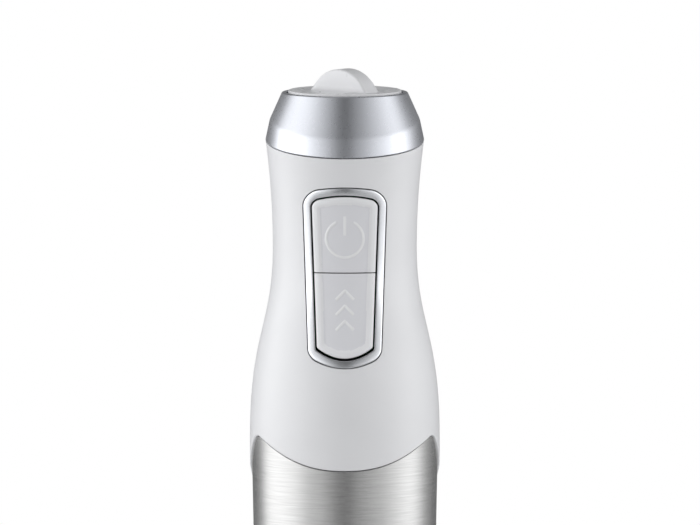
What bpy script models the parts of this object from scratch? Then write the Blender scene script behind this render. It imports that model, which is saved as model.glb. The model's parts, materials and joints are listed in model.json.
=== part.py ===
"""Immersion blender standing on its bell guard, as the pieces it comes apart into on a bench.

Sizes are in millimetres and become metres in the helpers. +Z is up, -Y is the button side, and the
origin is on the floor, under the drive axis. An azimuth is measured from -Y, and grows towards +X.
"""

import math

import bmesh
import bpy
from mathutils import Matrix, Vector

MM = 0.001

# Clearances between pieces
SEAM = 0.3          # between two fixed pieces that meet
RUNNING = 0.1       # between a shaft and its bush
SLIDING = 0.35      # round a latch tooth, a release button or a switch stem

# Main heights. The leg's length sets the joint, and the motor unit stands on the joint.
JOINT_Z = 180.0                  # where the motor unit sits on the blending leg
HIP_Z = JOINT_Z + 92.0           # widest part of the handle
WAIST_Z = JOINT_Z + 158.0        # narrowest part of the handle
COLLAR_LOW = JOINT_Z + 195.2     # bottom edge of the silver collar, at its sides
COLLAR_KINK = COLLAR_LOW + 7.0   # where the collar's cone changes slope, at its sides
COLLAR_TOP = COLLAR_LOW + 16.8
COLLAR_DIP = 4.0                 # how much lower the kink and the bottom edge are at the front

# White handle
HIP_R = 33.0
WAIST_R = 25.0
HANDLE_TOP_R = 27.5   # at COLLAR_LOW
WAIST_EASE = 0.41     # length of the curve's handles at the waist and at the hip,
HIP_EASE = 0.55       # as shares of the height between them
HANDLE_WALL = 2.2

# Line between the white handle and the steel sleeve
LOBE_Z = HIP_Z - 9.0  # lowest point of the white lobe, at the front
LOBE_POWER = 2.4      # how hollow the lobe's sides are
EAR_Z = HIP_Z + 2.3   # where the front and rear lines would cross
EAR_AZIMUTH = 70.0
REAR_FALL = 34.5      # how far the line falls from there to the rear
EAR_ROUNDING = 2.0

# Steel sleeve, chassis and socket
SLEEVE_TOP_R = HIP_R - 0.6    # at HIP_Z
SLEEVE_LOW_R = HIP_R - 2.3
SLEEVE_WALL = 0.8
TRIM_R = SLEEVE_LOW_R + 0.3
TRIM_HEIGHT = 5.5
TRIM_CHAMFER = 0.8
CHASSIS_WALL = 1.6
CHASSIS_TOP = HIP_Z + 10.0
CHASSIS_KNEE = 44.0           # length of its tapered foot
SOCKET_WALL = 1.8
SOCKET_DEPTH = 24.0
SOCKET_WEB = 2.0
SOCKET_HOLE_R = 6.5

# Dial
DIAL_R = 19.7
DIAL_GAP = 0.6
DIAL_RIM_Z = COLLAR_TOP + 0.7
DIAL_LAND = 3.0       # width of its flat rim, outside the dish
DIAL_ROUNDING = 0.8
DIAL_EDGE = 3.0
DIAL_WALL = 1.4
DIAL_HUB_R = 7.0
DISH_Z = COLLAR_TOP
DIAL_TOP = COLLAR_TOP + 8.0   # top of the dial's fin
FIN_R = 13.5
FIN_THICKNESS = 7.0
FIN_ROUNDING = 0.9
FIN_TURN = -40.0      # the fin's right end points this far towards the front

# Collar, and the cup under the dial
LIP_HOLE_R = DIAL_R + DIAL_GAP
LIP_R = LIP_HOLE_R + 1.5
LIP_ROUNDING = 0.4
LIP_THICKNESS = 3.6
KINK_R = LIP_R + 4.3
COLLAR_WALL = 1.3
SEAT_FLOOR_TOP = COLLAR_TOP - 6.2
SEAT_FLOOR = 2.0
SEAT_WALL = 1.2
SEAT_FOOT_Z = COLLAR_TOP - 25.0
POT_R = 8.0
POT_HEIGHT = 9.0
POT_NECK_R = 4.2
POT_SHAFT_R = 3.0

# Control panel on the front of the handle
PANEL_TOP = WAIST_Z + 22.7
PANEL_LOW = WAIST_Z - 39.3
PANEL_TOP_HALF = 14.4
PANEL_LOW_HALF = 12.7
PANEL_CROWN = 1.9     # how much its top edge bows up
PANEL_SAG = 5.0       # how much its bottom edge bows down
PANEL_TOP_CORNER = 5.2
PANEL_LOW_CORNER = 2.6
BEZEL_WIDTH = 2.5
KEY_GAP = 0.5
BEZEL_PROUD = 0.5
BEZEL_DEPTH = 3.0
BUTTON_SPLIT = WAIST_Z - 6.8
BUTTON_PROUD = 0.7
BUTTON_DEPTH = 3.2
BUTTON_TRAVEL = 1.8
PAD_MARGIN = 2.8
PAD_PROUD = 0.1
PAD_THICKNESS = 1.1
STEM_R = 2.2
STEM_TIP_R = 1.4
SPRING_R = STEM_R + 1.1
SPRING_WIRE = 0.3
SPEED_SWITCH_Z = WAIST_Z + 6.0
TURBO_SWITCH_Z = WAIST_Z - 22.0
SWITCH_SIZE = (8.0, 6.0, 13.0)
BOARD_FRONT = -9.6
BOARD_THICKNESS = 1.6
BOARD_HALF = 11.0
BOARD_LOW = PANEL_LOW + 1.3
BOARD_TOP = PANEL_TOP + 1.3
CARRIER_PLATE = 2.2
CAPACITOR_HALF = 8.0
CAPACITOR_HEIGHT = 14.0

# Motor
MOTOR_Z = JOINT_Z + 60.0      # middle of the laminations
STACK = 28.0
STATOR_R = 25.5
STATOR_RING = 4.0
POLE_HALF_ANGLE = 50.0
AIR_GAP = 0.5
ROTOR_R = 12.8
SLOT_FLOOR_R = 7.5
SLOT_HALF_WIDTH = 1.2
SLOTS = 12
SHAFT_R = 2.5
BEARING_R = 6.2
BEARING_HEIGHT = 5.0
LOWER_BEARING_Z = MOTOR_Z - 25.5
UPPER_BEARING_Z = MOTOR_Z + 33.5
COMMUTATOR_R = 8.0
COMMUTATOR_LOW = MOTOR_Z + 21.5
COMMUTATOR_HEIGHT = 9.0
BRUSH = (6.0, 9.4, 5.0)
BRUSH_GAP = 0.2
HOLDER_WALL = 0.9
HOLDER_END = 22.9
FAN_R = 23.0
FAN_BLADES = 9
FAN_LOW = LOWER_BEARING_Z - 7.2
FAN_HEIGHT = 4.6
AIR_HOLE_R = 4.6

# Release buttons, low on the sleeve
RELEASE_Z = JOINT_Z + 16.0
RELEASE_HALF_WIDTH = 8.7
RELEASE_HALF_HEIGHT = 5.7
RELEASE_CORNER = 2.65
RELEASE_THICKNESS = 1.8
RELEASE_PROUD = 1.2
RELEASE_TRAVEL = 2.5
LATCH_THICKNESS = 2.0
LATCH_OFFSET = 2.5    # the two latch plates lie this far above and below RELEASE_Z
LATCH_WIDTH = 3.2
TOOTH_HALF_WIDTH = 4.0
TOOTH_BITE = 1.2

# Drive couplings
DOG_R = 4.2
DOG_LOBE = 0.7
DOG_PLAY = 0.4
DOG_LOW = JOINT_Z + 9.5
CUP_R = 8.6
CUP_HEIGHT = 14.5

# Blending leg
PLUG_R = TRIM_R - 11.5
PLUG_TOP = JOINT_Z + 20.0
PLUG_WELL_R = CUP_R + 0.7
HUB_R = TRIM_R - 0.4
HUB_RIM = 3.5
HUB_WALL = 2.4
HUB_LOW = JOINT_Z - 29.7
LEG_R = 16.0
LEG_WALL = 0.8
LEG_LOW = 54.0
SPIGOT_R = LEG_R - LEG_WALL - SEAM
SPIGOT_LENGTH = 10.0
BUSH_R = 5.0
BELL_R = 33.0
BELL_WALL = 1.2
BELL_RIM_HEIGHT = 14.0
BELL_NECK_Z = LEG_LOW - 4.0
BELL_SPIGOT = 8.0
ARCH_R = 9.5
ARCH_Z = -1.0
DRIVE_R = 2.5
DRIVE_LOW = 11.0
CARRIER_R = 8.0
CARRIER_LOW = 19.0
SEAL_R = 6.0
SEAL_HEIGHT = 5.0
BLADE_HUB_R = 5.6
BLADE_REACH = 23.0
BLADE_WIDTH = 9.0
BLADE_THICKNESS = 1.5
BLADE_Z = DRIVE_LOW + 3.6
BLADE_TILT = 9.0
NUT_R = 4.4
NUT_HEIGHT = 4.0

# Cord gland, at the rear under the collar
GLAND_Z = WAIST_Z + 23.0
GLAND_BORE_R = 3.6
GLAND_R = 5.8
GLAND_NECK_R = GLAND_R - 0.8
GLAND_FLANGE_R = 7.0
GLAND_REACH = 6.1     # how far it stands out of the handle

# Smoothness
ROUND_STEPS = 24
OUTER_STEPS = 32
FINE_STEPS = 48
ROD_STEPS = 18
COIL_STEPS = 7

# name: (colour, roughness, metallic)
FINISHES = {
    "white_plastic": ((0.80, 0.80, 0.82), 0.35, 0.0),
    "button_plastic": ((0.78, 0.78, 0.80), 0.40, 0.0),
    "pad_plastic": ((0.66, 0.66, 0.69), 0.50, 0.0),
    "dial_plastic": ((0.77, 0.77, 0.79), 0.35, 0.0),
    "satin_aluminium": ((0.70, 0.71, 0.74), 0.30, 1.0),
    "brushed_steel": ((0.66, 0.66, 0.65), 0.30, 1.0),
    "chrome": ((0.75, 0.76, 0.78), 0.12, 1.0),
    "black_plastic": ((0.03, 0.03, 0.03), 0.50, 0.0),
    "grey_plastic": ((0.25, 0.25, 0.26), 0.50, 0.0),
    "rubber": ((0.04, 0.04, 0.04), 0.80, 0.0),
    "board": ((0.05, 0.22, 0.10), 0.45, 0.0),
    "lamination": ((0.30, 0.30, 0.32), 0.45, 1.0),
    "copper": ((0.72, 0.33, 0.18), 0.35, 1.0),
    "carbon": ((0.06, 0.06, 0.07), 0.60, 0.0),
    "bronze": ((0.55, 0.38, 0.20), 0.40, 1.0),
    "plain_steel": ((0.55, 0.55, 0.56), 0.30, 1.0),
}


# ---- Scene and material helpers

def clear_scene():
    for obj in list(bpy.data.objects):
        bpy.data.objects.remove(obj, do_unlink=True)


def collection(name):
    made = bpy.data.collections.new(name)
    bpy.context.scene.collection.children.link(made)
    return made


clear_scene()
PARTS = collection("immersion_blender")
CUTTERS = collection("cutters")


def finish(name):
    """The material of this name, made on its first use."""
    found = bpy.data.materials.get(name)
    if found:
        return found
    colour, roughness, metallic = FINISHES[name]
    made = bpy.data.materials.new(name)
    made.use_nodes = True
    shader = made.node_tree.nodes["Principled BSDF"]
    shader.inputs["Base Color"].default_value = (*colour, 1.0)
    shader.inputs["Roughness"].default_value = roughness
    shader.inputs["Metallic"].default_value = metallic
    return made


def link(name, data, material=None):
    """A new object. With a material it is a part, and without one it is a cutter or a helper."""
    obj = bpy.data.objects.new(name, data)
    if material:
        PARTS.objects.link(obj)
        obj.data.materials.append(finish(material))
    else:
        CUTTERS.objects.link(obj)
        obj.hide_render = True
        obj.display_type = "WIRE"
    return obj


def mesh_object(name, bm, material=None):
    bmesh.ops.recalc_face_normals(bm, faces=bm.faces)
    mesh = bpy.data.meshes.new(name)
    bm.to_mesh(mesh)
    bm.free()
    if material:
        mesh.shade_smooth()
        mesh.set_sharp_from_angle(angle=math.radians(35))
    return link(name, mesh, material)


# ---- Shape helpers: all take millimetres

def box(name, low, high, material=None):
    low, high = Vector(low) * MM, Vector(high) * MM
    size = Matrix.Diagonal((*(high - low), 1.0))
    bm = bmesh.new()
    bmesh.ops.create_cube(bm, size=1.0, matrix=Matrix.Translation((low + high) / 2) @ size)
    return mesh_object(name, bm, material)


def rod(name, radius, start, end, material=None, steps=ROD_STEPS):
    """A cylinder from one point to another."""
    start, end = Vector(start) * MM, Vector(end) * MM
    turn = (end - start).to_track_quat("Z", "Y").to_matrix().to_4x4()
    bm = bmesh.new()
    bmesh.ops.create_cone(
        bm, cap_ends=True, segments=steps, radius1=radius * MM, radius2=radius * MM,
        depth=(end - start).length, matrix=Matrix.Translation((start + end) / 2) @ turn)
    return mesh_object(name, bm, material)


def turned(name, profile, material=None, steps=ROUND_STEPS):
    """A solid turned about Z. The closed profile of (radius, height) runs down its outer side first."""
    mesh = bpy.data.meshes.new(name)
    points = [(r * MM, 0.0, z * MM) for r, z in profile]
    edges = [(i, (i + 1) % len(points)) for i in range(len(points))]
    on_axis = profile[0][0] == 0.0 and profile[-1][0] == 0.0
    mesh.from_pydata(points, edges[:-1] if on_axis else edges, [])
    obj = link(name, mesh, material)
    screw = obj.modifiers.new("turn", "SCREW")
    screw.axis = "Z"
    screw.steps = screw.render_steps = steps
    screw.use_merge_vertices = True
    screw.merge_threshold = 0.00001
    screw.use_smooth_shade = False
    return obj


def extruded(name, outlines, low, high, material=None, axis="Z"):
    """A plate between two heights on an axis. The first outline is its edge and the others are holes.

    The outlines' points are (x, y) for axis Z, (x, z) for axis Y and (y, z) for axis X.
    """
    curve = bpy.data.curves.new(name, "CURVE")
    curve.dimensions = "2D"
    curve.fill_mode = "BOTH"
    curve.extrude = (high - low) / 2 * MM
    for outline in outlines:
        spline = curve.splines.new("POLY")
        spline.points.add(len(outline) - 1)
        spline.use_cyclic_u = True
        for point, (a, b) in zip(spline.points, outline):
            point.co = (a * MM, b * MM, 0.0, 1.0)
    flat = link(name + "_outline", curve)
    graph = bpy.context.evaluated_depsgraph_get()
    mesh = bpy.data.meshes.new_from_object(flat.evaluated_get(graph))
    bpy.data.objects.remove(flat)
    turns = {
        "Z": Matrix.Identity(4),
        "Y": Matrix(((1, 0, 0, 0), (0, 0, -1, 0), (0, 1, 0, 0), (0, 0, 0, 1))),
        "X": Matrix(((0, 0, 1, 0), (1, 0, 0, 0), (0, 1, 0, 0), (0, 0, 0, 1))),
    }
    middle = Vector([(low + high) / 2 * MM if axis == side else 0.0 for side in "XYZ"])
    bm = bmesh.new()
    bm.from_mesh(mesh)
    bpy.data.meshes.remove(mesh)
    bmesh.ops.remove_doubles(bm, verts=bm.verts, dist=0.000001)
    bmesh.ops.transform(bm, matrix=Matrix.Translation(middle) @ turns[axis], verts=bm.verts)
    return mesh_object(name, bm, material)


def ringed(name, section, material):
    """A ring about Z. section(azimuth) is its closed outline there, as (radius, height) points."""
    bm = bmesh.new()
    loops = []
    for i in range(FINE_STEPS):
        azimuth = 360 * i / FINE_STEPS
        loops.append([bm.verts.new(Vector(round_axis(r, azimuth, z)) * MM) for r, z in section(azimuth)])
    for near, far in zip(loops, loops[1:] + loops[:1]):
        for j in range(len(near)):
            k = (j + 1) % len(near)
            bm.faces.new((near[j], near[k], far[k], far[j]))
    return mesh_object(name, bm, material)


def wall_section(radius_at, low, top, rows, wall):
    """Outline of a wall whose outer side follows radius_at(height), level at its two edges."""
    heights = [top + (low - top) * i / rows for i in range(rows + 1)]
    outer = [(radius_at(z), z) for z in heights]
    return outer + [(r - wall, z) for r, z in reversed(outer)]


def coil(name, start, end, radius, wire, turns, material):
    """A compression spring from one point to another."""
    start, end = Vector(start), Vector(end)
    turn = (end - start).to_track_quat("Z", "Y").to_matrix()
    curve = bpy.data.curves.new(name, "CURVE")
    curve.dimensions = "3D"
    curve.bevel_depth = wire * MM
    curve.bevel_resolution = 2
    curve.use_fill_caps = True
    spline = curve.splines.new("POLY")
    count = round(turns * COIL_STEPS)
    spline.points.add(count)
    for i, point in enumerate(spline.points):
        angle = 2 * math.pi * i / COIL_STEPS
        along = wire + ((end - start).length - 2 * wire) * i / count
        local = Vector((radius * math.cos(angle), radius * math.sin(angle), along))
        point.co = (*((start + turn @ local) * MM), 1.0)
    return link(name, curve, material)


def boolean(obj, other, operation):
    if not other.hide_render:
        CUTTERS.objects.link(other)
        PARTS.objects.unlink(other)
        other.hide_render = True
        other.display_type = "WIRE"
    modifier = obj.modifiers.new(other.name, "BOOLEAN")
    modifier.operation = operation
    modifier.object = other
    return obj


def cut(obj, *others):
    for other in others:
        boolean(obj, other, "DIFFERENCE")
    return obj


def join(obj, *others):
    for other in others:
        boolean(obj, other, "UNION")
    return obj


def keep(obj, other):
    return boolean(obj, other, "INTERSECT")


# ---- Outlines

def arc(centre, radius, start, end, steps):
    """Points round a centre, from one angle in degrees to another."""
    angles = [math.radians(start + (end - start) * i / steps) for i in range(steps + 1)]
    return [(centre[0] + radius * math.cos(a), centre[1] + radius * math.sin(a)) for a in angles]


def circle(radius, steps=ROD_STEPS, centre=(0.0, 0.0)):
    return arc(centre, radius, 0, 360, steps)[:-1]


def rounded_box(half_width, half_height, corner, centre=(0.0, 0.0), steps=4):
    x, y = half_width - corner, half_height - corner
    points = []
    for side_x, side_y, start in ((1, 1, 0), (-1, 1, 90), (-1, -1, 180), (1, -1, 270)):
        middle = (centre[0] + side_x * x, centre[1] + side_y * y)
        points += arc(middle, corner, start, start + 90, steps)
    return points


def lobed(radius, lobe, lobes=6, steps=36):
    """The wavy outline of the drive couplings."""
    points = []
    for i in range(steps):
        angle = 2 * math.pi * i / steps
        r = radius + lobe * math.cos(lobes * angle)
        points.append((r * math.cos(angle), r * math.sin(angle)))
    return points


def notched(radius, floor, half_width, notches, steps=3):
    """A circle with notches down to a floor radius, as on an armature or a commutator."""
    points = []
    for i in range(notches):
        middle = 360.0 * i / notches
        edge = math.degrees(math.asin(half_width / radius))
        inner = math.degrees(math.asin(half_width / floor))
        following = middle + 360.0 / notches
        points += arc((0, 0), floor, middle - inner, middle + inner, 1)
        points += arc((0, 0), radius, middle + edge, following - edge, steps)
    return points


def offset(profile, distance):
    """An open profile moved to the left of the way it runs."""
    moved = []
    for i, point in enumerate(profile):
        before = Vector(profile[max(i - 1, 0)])
        after = Vector(profile[min(i + 1, len(profile) - 1)])
        way = (after - before).normalized()
        moved.append((point[0] - way.y * distance, point[1] + way.x * distance))
    return moved


def panel_outline(inset):
    """The control panel's outline, as (x, z), taken in by an inset on all sides."""
    top, low = PANEL_TOP - inset, PANEL_LOW + inset
    corners = (
        (PANEL_TOP_HALF, top, PANEL_TOP_CORNER, 1, 0), (-PANEL_TOP_HALF, top, PANEL_TOP_CORNER, 1, 90),
        (-PANEL_LOW_HALF, low, PANEL_LOW_CORNER, -1, 180), (PANEL_LOW_HALF, low, PANEL_LOW_CORNER, -1, 270))
    points = []
    for corner_x, z, corner, up, start in corners:
        side = math.copysign(1, corner_x)
        radius = max(corner - inset, 0.8)
        middle = (corner_x - side * (inset + radius), z - up * radius)
        points += arc(middle, radius, start, start + 90, 5)
        if start in (0, 180):   # the top and bottom edges bow, so they need points of their own
            end = (-middle[0], points[-1][1])
            points += [(middle[0] + (end[0] - middle[0]) * i / 8, end[1]) for i in range(1, 8)]
    bowed = []
    for x, z in points:
        height = (z - low) / (top - low)
        share = (x / (PANEL_TOP_HALF - inset)) ** 2
        bowed.append((x, z - share * (PANEL_CROWN * height - PANEL_SAG * (1 - height))))
    return bowed


def clipped(outline, low, high):
    """The stretch of a convex outline between two heights."""
    for limit, sign in ((low, 1), (high, -1)):
        kept = []
        for (x0, z0), (x1, z1) in zip(outline, outline[1:] + outline[:1]):
            inside_0, inside_1 = sign * (z0 - limit) >= 0, sign * (z1 - limit) >= 0
            if inside_0:
                kept.append((x0, z0))
            if inside_0 != inside_1:
                share = (limit - z0) / (z1 - z0)
                kept.append((x0 + (x1 - x0) * share, limit))
        outline = kept
    return outline


# ---- Surfaces of the handle

def handle_radius(z):
    """Outer radius of the white handle: flared above the waist, and an S curve down to the hip."""
    if z >= WAIST_Z:
        return WAIST_R + (HANDLE_TOP_R - WAIST_R) * ((z - WAIST_Z) / (COLLAR_LOW - WAIST_Z)) ** 2
    if z <= HIP_Z:
        return HIP_R
    fall = (WAIST_Z - z) / (WAIST_Z - HIP_Z)
    low, high = 0.0, 1.0
    for _ in range(30):
        u = (low + high) / 2
        reached = 3 * (1 - u) ** 2 * u * WAIST_EASE + 3 * (1 - u) * u ** 2 * (1 - HIP_EASE) + u ** 3
        low, high = (u, high) if reached < fall else (low, u)
    return WAIST_R + (HIP_R - WAIST_R) * (3 * u ** 2 - 2 * u ** 3)


def sleeve_radius(z):
    base = JOINT_Z + TRIM_HEIGHT
    return SLEEVE_LOW_R + (SLEEVE_TOP_R - SLEEVE_LOW_R) * (z - base) / (HIP_Z - base)


def line_height(azimuth):
    """Height of the line between the handle and the steel sleeve: a front lobe, two ears, a deep rear."""
    side = abs((azimuth + 180) % 360 - 180)
    across = math.sin(math.radians(min(side, 90))) / math.sin(math.radians(EAR_AZIMUTH))
    front = LOBE_Z + (EAR_Z - LOBE_Z) * across ** LOBE_POWER
    past = (side - EAR_AZIMUTH) / (180 - EAR_AZIMUTH)
    rear = EAR_Z - REAR_FALL * (1 - (1 - past) ** 2)
    k = EAR_ROUNDING
    return -k * math.log(math.exp(-front / k) + math.exp(-rear / k))


def collar_height(side_height, azimuth):
    return side_height - COLLAR_DIP * math.cos(math.radians(azimuth))


def round_axis(radius, azimuth, z):
    angle = math.radians(azimuth)
    return (radius * math.sin(angle), -radius * math.cos(angle), z)


def curved_ring(name, proud, depth, low, high):
    """A ring that follows the handle's surface, for the curved pieces of the panel to be cut from."""
    rows = 8
    heights = [high + (low - high) * i / rows for i in range(rows + 1)]
    outer = [(handle_radius(z) + proud, z) for z in heights]
    inner = [(handle_radius(z) - depth, z) for z in reversed(heights)]
    return turned(name, outer + inner, steps=FINE_STEPS)


def curved_plate(name, outline, proud, depth, material):
    """A piece of this outline, seen from the front, whose faces follow the handle's surface."""
    heights = [z for _, z in outline]
    piece = extruded(name, [outline], -HIP_R - 5, -5, material, "Y")
    return keep(piece, curved_ring(name + "_ring", proud, depth, min(heights) - 3, max(heights) + 3))


# ---- Handle

def housing(name, side):
    """One half of the handle, in front of the seam (side -1) or behind it (side 1)."""
    def section(azimuth):
        low, top = line_height(azimuth) + SEAM / 2, collar_height(COLLAR_LOW, azimuth) - SEAM
        return wall_section(handle_radius, low, top, 9, HANDLE_WALL)

    whole = ringed(name, section, "white_plastic")
    reach = HIP_R + 5
    near, far = sorted((side * SEAM / 2, -side * reach))
    low = EAR_Z - REAR_FALL - 5
    return cut(whole, box(name + "_other_half", (-reach, near, low), (reach, far, COLLAR_TOP)))


def front_housing():
    opening = extruded("panel_opening", [panel_outline(-SEAM)], -HIP_R - 6, -5, axis="Y")
    return cut(housing("front_housing", -1), opening)


def rear_housing():
    hole = rod("gland_hole", GLAND_NECK_R + SEAM, (0, 10, GLAND_Z), (0, HIP_R + 6, GLAND_Z))
    return cut(housing("rear_housing", 1), hole)


def steel_sleeve():
    base = JOINT_Z + TRIM_HEIGHT + SEAM

    def section(azimuth):
        return wall_section(sleeve_radius, base, line_height(azimuth) - SEAM / 2, 1, SLEEVE_WALL)

    return cut(ringed("steel_sleeve", section, "brushed_steel"), *release_windows("sleeve"))


def release_windows(name):
    outline = rounded_box(RELEASE_HALF_WIDTH + SLIDING, RELEASE_HALF_HEIGHT + SLIDING,
                          RELEASE_CORNER + SLIDING, (0, RELEASE_Z))
    return [
        extruded(f"{name}_window_left", [outline], -TRIM_R - 5, -HUB_R + 8, axis="X"),
        extruded(f"{name}_window_right", [outline], HUB_R - 8, TRIM_R + 5, axis="X")]


def chassis_radius():
    """Outer radius of the chassis inside the handle, where the handle has begun to narrow."""
    return handle_radius(CHASSIS_TOP) - HANDLE_WALL - SEAM


def chassis():
    base = JOINT_Z + TRIM_HEIGHT + SEAM
    knee = base + CHASSIS_KNEE
    low_r = sleeve_radius(base) - SLEEVE_WALL - SEAM
    outer_r, inner_r = chassis_radius(), chassis_radius() - CHASSIS_WALL
    profile = [
        (outer_r, CHASSIS_TOP), (outer_r, knee), (low_r, base), (low_r - CHASSIS_WALL, base),
        (inner_r, knee), (inner_r, CHASSIS_TOP)]
    return cut(turned("motor_chassis", profile, "grey_plastic"), *release_windows("chassis"))


def top_collar():
    """Silver collar: a cone over a steeper band, both with their lower edges tipped down at the front."""
    edge, under = LIP_ROUNDING, COLLAR_TOP - LIP_THICKNESS

    def section(azimuth):
        low, kink = collar_height(COLLAR_LOW, azimuth), collar_height(COLLAR_KINK, azimuth)
        low_r = handle_radius(low)
        return [
            (low_r, low), (KINK_R, kink), (LIP_R, COLLAR_TOP - edge), (LIP_R - edge, COLLAR_TOP),
            (LIP_HOLE_R, COLLAR_TOP), (LIP_HOLE_R, under), (LIP_R - COLLAR_WALL, under - 0.6),
            (KINK_R - COLLAR_WALL, kink - 0.6), (low_r - COLLAR_WALL, low)]

    return ringed("top_collar", section, "satin_aluminium")


def dial_seat():
    """Black cup under the dial, on a skirt that stands inside the handle."""
    outer, inner = LIP_HOLE_R - SEAM, LIP_HOLE_R - SEAM - SEAT_WALL
    top, hole = DIAL_RIM_Z - DIAL_EDGE - SEAM, POT_NECK_R + SEAM
    foot = handle_radius(SEAT_FOOT_Z) - HANDLE_WALL - SEAM
    profile = [
        (outer, top), (outer, SEAT_FOOT_Z + 2), (foot, SEAT_FOOT_Z + 2), (foot, SEAT_FOOT_Z),
        (inner, SEAT_FOOT_Z), (inner, SEAT_FLOOR_TOP - SEAT_FLOOR), (hole, SEAT_FLOOR_TOP - SEAT_FLOOR),
        (hole, SEAT_FLOOR_TOP), (inner, SEAT_FLOOR_TOP), (inner, top)]
    return turned("dial_seat", profile, "black_plastic")


def potentiometer():
    top, neck_top = SEAT_FLOOR_TOP - SEAT_FLOOR - SEAM, SEAT_FLOOR_TOP + 1.6
    bore = POT_SHAFT_R + RUNNING
    profile = [
        (POT_NECK_R, neck_top), (POT_NECK_R, top), (POT_R, top), (POT_R, top - POT_HEIGHT),
        (bore, top - POT_HEIGHT), (bore, neck_top)]
    return turned("speed_potentiometer", profile, "grey_plastic", ROD_STEPS)


def potentiometer_shaft():
    low = SEAT_FLOOR_TOP - SEAT_FLOOR - SEAM - POT_HEIGHT + 1
    return rod("potentiometer_shaft", POT_SHAFT_R, (0, 0, low), (0, 0, DISH_Z - DIAL_WALL - SEAM),
               "plain_steel")


def speed_dial():
    """White disc with a shallow dish and a half-round fin across it, on a hub for the shaft."""
    hub_low = SEAT_FLOOR_TOP + 2.2
    bore, web = POT_SHAFT_R + SEAM, DISH_Z - DIAL_WALL
    land = DIAL_R - DIAL_LAND
    profile = [
        (0, DISH_Z - SEAM), (land - 4.0, DISH_Z), (land, DIAL_RIM_Z), (DIAL_R - DIAL_ROUNDING, DIAL_RIM_Z),
        (DIAL_R, DIAL_RIM_Z - DIAL_ROUNDING), (DIAL_R, DIAL_RIM_Z - DIAL_EDGE), (land - 4.0, web - SEAM),
        (DIAL_HUB_R, web - SEAM), (DIAL_HUB_R, hub_low), (bore, hub_low), (bore, web), (0, web)]
    dial = turned("speed_dial", profile, "dial_plastic", OUTER_STEPS)
    middle = DIAL_TOP - FIN_R
    root = DISH_Z - 0.8
    reach = math.degrees(math.asin((root - middle) / FIN_R))
    half = FIN_THICKNESS / 2
    fin = extruded("dial_fin", [arc((0, middle), FIN_R, reach, 180 - reach, 24)], -half, half, axis="Y")
    bevel = fin.modifiers.new("rounded", "BEVEL")
    bevel.width = FIN_ROUNDING * MM
    bevel.segments = 2
    bevel.limit_method = "ANGLE"
    fin.rotation_euler.z = math.radians(FIN_TURN)
    return join(dial, fin)


def cord_gland():
    """Bush for the mains lead, made about Z and then laid along Y."""
    back = handle_radius(GLAND_Z) - HANDLE_WALL - 1.6
    out = handle_radius(GLAND_Z + GLAND_FLANGE_R) + SEAM
    end = handle_radius(GLAND_Z) + GLAND_REACH
    profile = [
        (GLAND_R - 1.2, end), (GLAND_R, end - 1.0), (GLAND_R, out + 1.6), (GLAND_FLANGE_R, out + 1.2),
        (GLAND_FLANGE_R, out), (GLAND_NECK_R, out), (GLAND_NECK_R, back), (GLAND_BORE_R, back),
        (GLAND_BORE_R, end)]
    gland = turned("cord_gland", profile, "white_plastic", ROD_STEPS)
    gland.location = (0, 0, GLAND_Z * MM)
    gland.rotation_euler.x = math.radians(-90)
    return gland


# ---- Control panel

def button_bezel():
    ring = curved_plate("button_bezel", panel_outline(0), BEZEL_PROUD, BEZEL_DEPTH, "chrome")
    hole = extruded("bezel_hole", [panel_outline(BEZEL_WIDTH)], -HIP_R - 6, -4, axis="Y")
    return cut(ring, hole)


def button(name, low, high, switch_z):
    """A key that follows the handle's curve, with a pocket for its pad and a stem to its switch."""
    outline = clipped(panel_outline(BEZEL_WIDTH + KEY_GAP), low, high)
    key = curved_plate(name, outline, BUTTON_PROUD, BUTTON_DEPTH, "button_plastic")
    pocket_outline = pad_outline(low, high, -SEAM)
    heights = [z for _, z in pocket_outline]
    pocket = extruded(name + "_pocket", [pocket_outline], -HIP_R - 5, -5, axis="Y")
    floor = PAD_THICKNESS - PAD_PROUD + SEAM
    keep(pocket, curved_ring(name + "_pocket_ring", 4.0, floor, min(heights) - 3, max(heights) + 3))
    cut(key, pocket)
    back = -handle_radius(switch_z) + BUTTON_DEPTH
    shoulder = switch_front() - BUTTON_TRAVEL - SEAM
    stem = rod(name + "_stem", STEM_R, (0, back - 1.0, switch_z), (0, shoulder, switch_z), steps=12)
    tip = rod(name + "_tip", STEM_TIP_R, (0, shoulder - 0.5, switch_z),
              (0, switch_front() + 0.8, switch_z), steps=12)
    return join(key, stem, tip)


def pad_outline(low, high, inset):
    """The pad's outline. It is open to the other key on one side, so only its outer sides have a margin."""
    outline = panel_outline(BEZEL_WIDTH + KEY_GAP + PAD_MARGIN + inset)
    edge = 1.0
    if low > PANEL_LOW:
        low += edge + inset
    if high < PANEL_TOP:
        high -= edge + inset
    return clipped(outline, low, high)


def button_pad(name, low, high):
    return curved_plate(
        name, pad_outline(low, high, 0), PAD_PROUD, PAD_THICKNESS - PAD_PROUD, "pad_plastic")


def switch_front():
    return BOARD_FRONT - SEAM - SWITCH_SIZE[1]


def switch(name, z):
    width, _, height = SWITCH_SIZE
    body = box(name, (-width / 2, switch_front(), z - height / 2),
               (width / 2, BOARD_FRONT - SEAM, z + height / 2), "black_plastic")
    hole = rod(name + "_hole", STEM_TIP_R + SLIDING, (0, switch_front() - 1, z),
               (0, switch_front() + BUTTON_TRAVEL + 1.4, z), steps=12)
    return cut(body, hole)


def key_back(z):
    """How far back the key's slanted, curved underside reaches anywhere over its spring."""
    reach = SPRING_R + SPRING_WIRE
    radius = min(handle_radius(z - reach), handle_radius(z + reach)) - BUTTON_DEPTH
    return -math.sqrt(radius ** 2 - reach ** 2)


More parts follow.
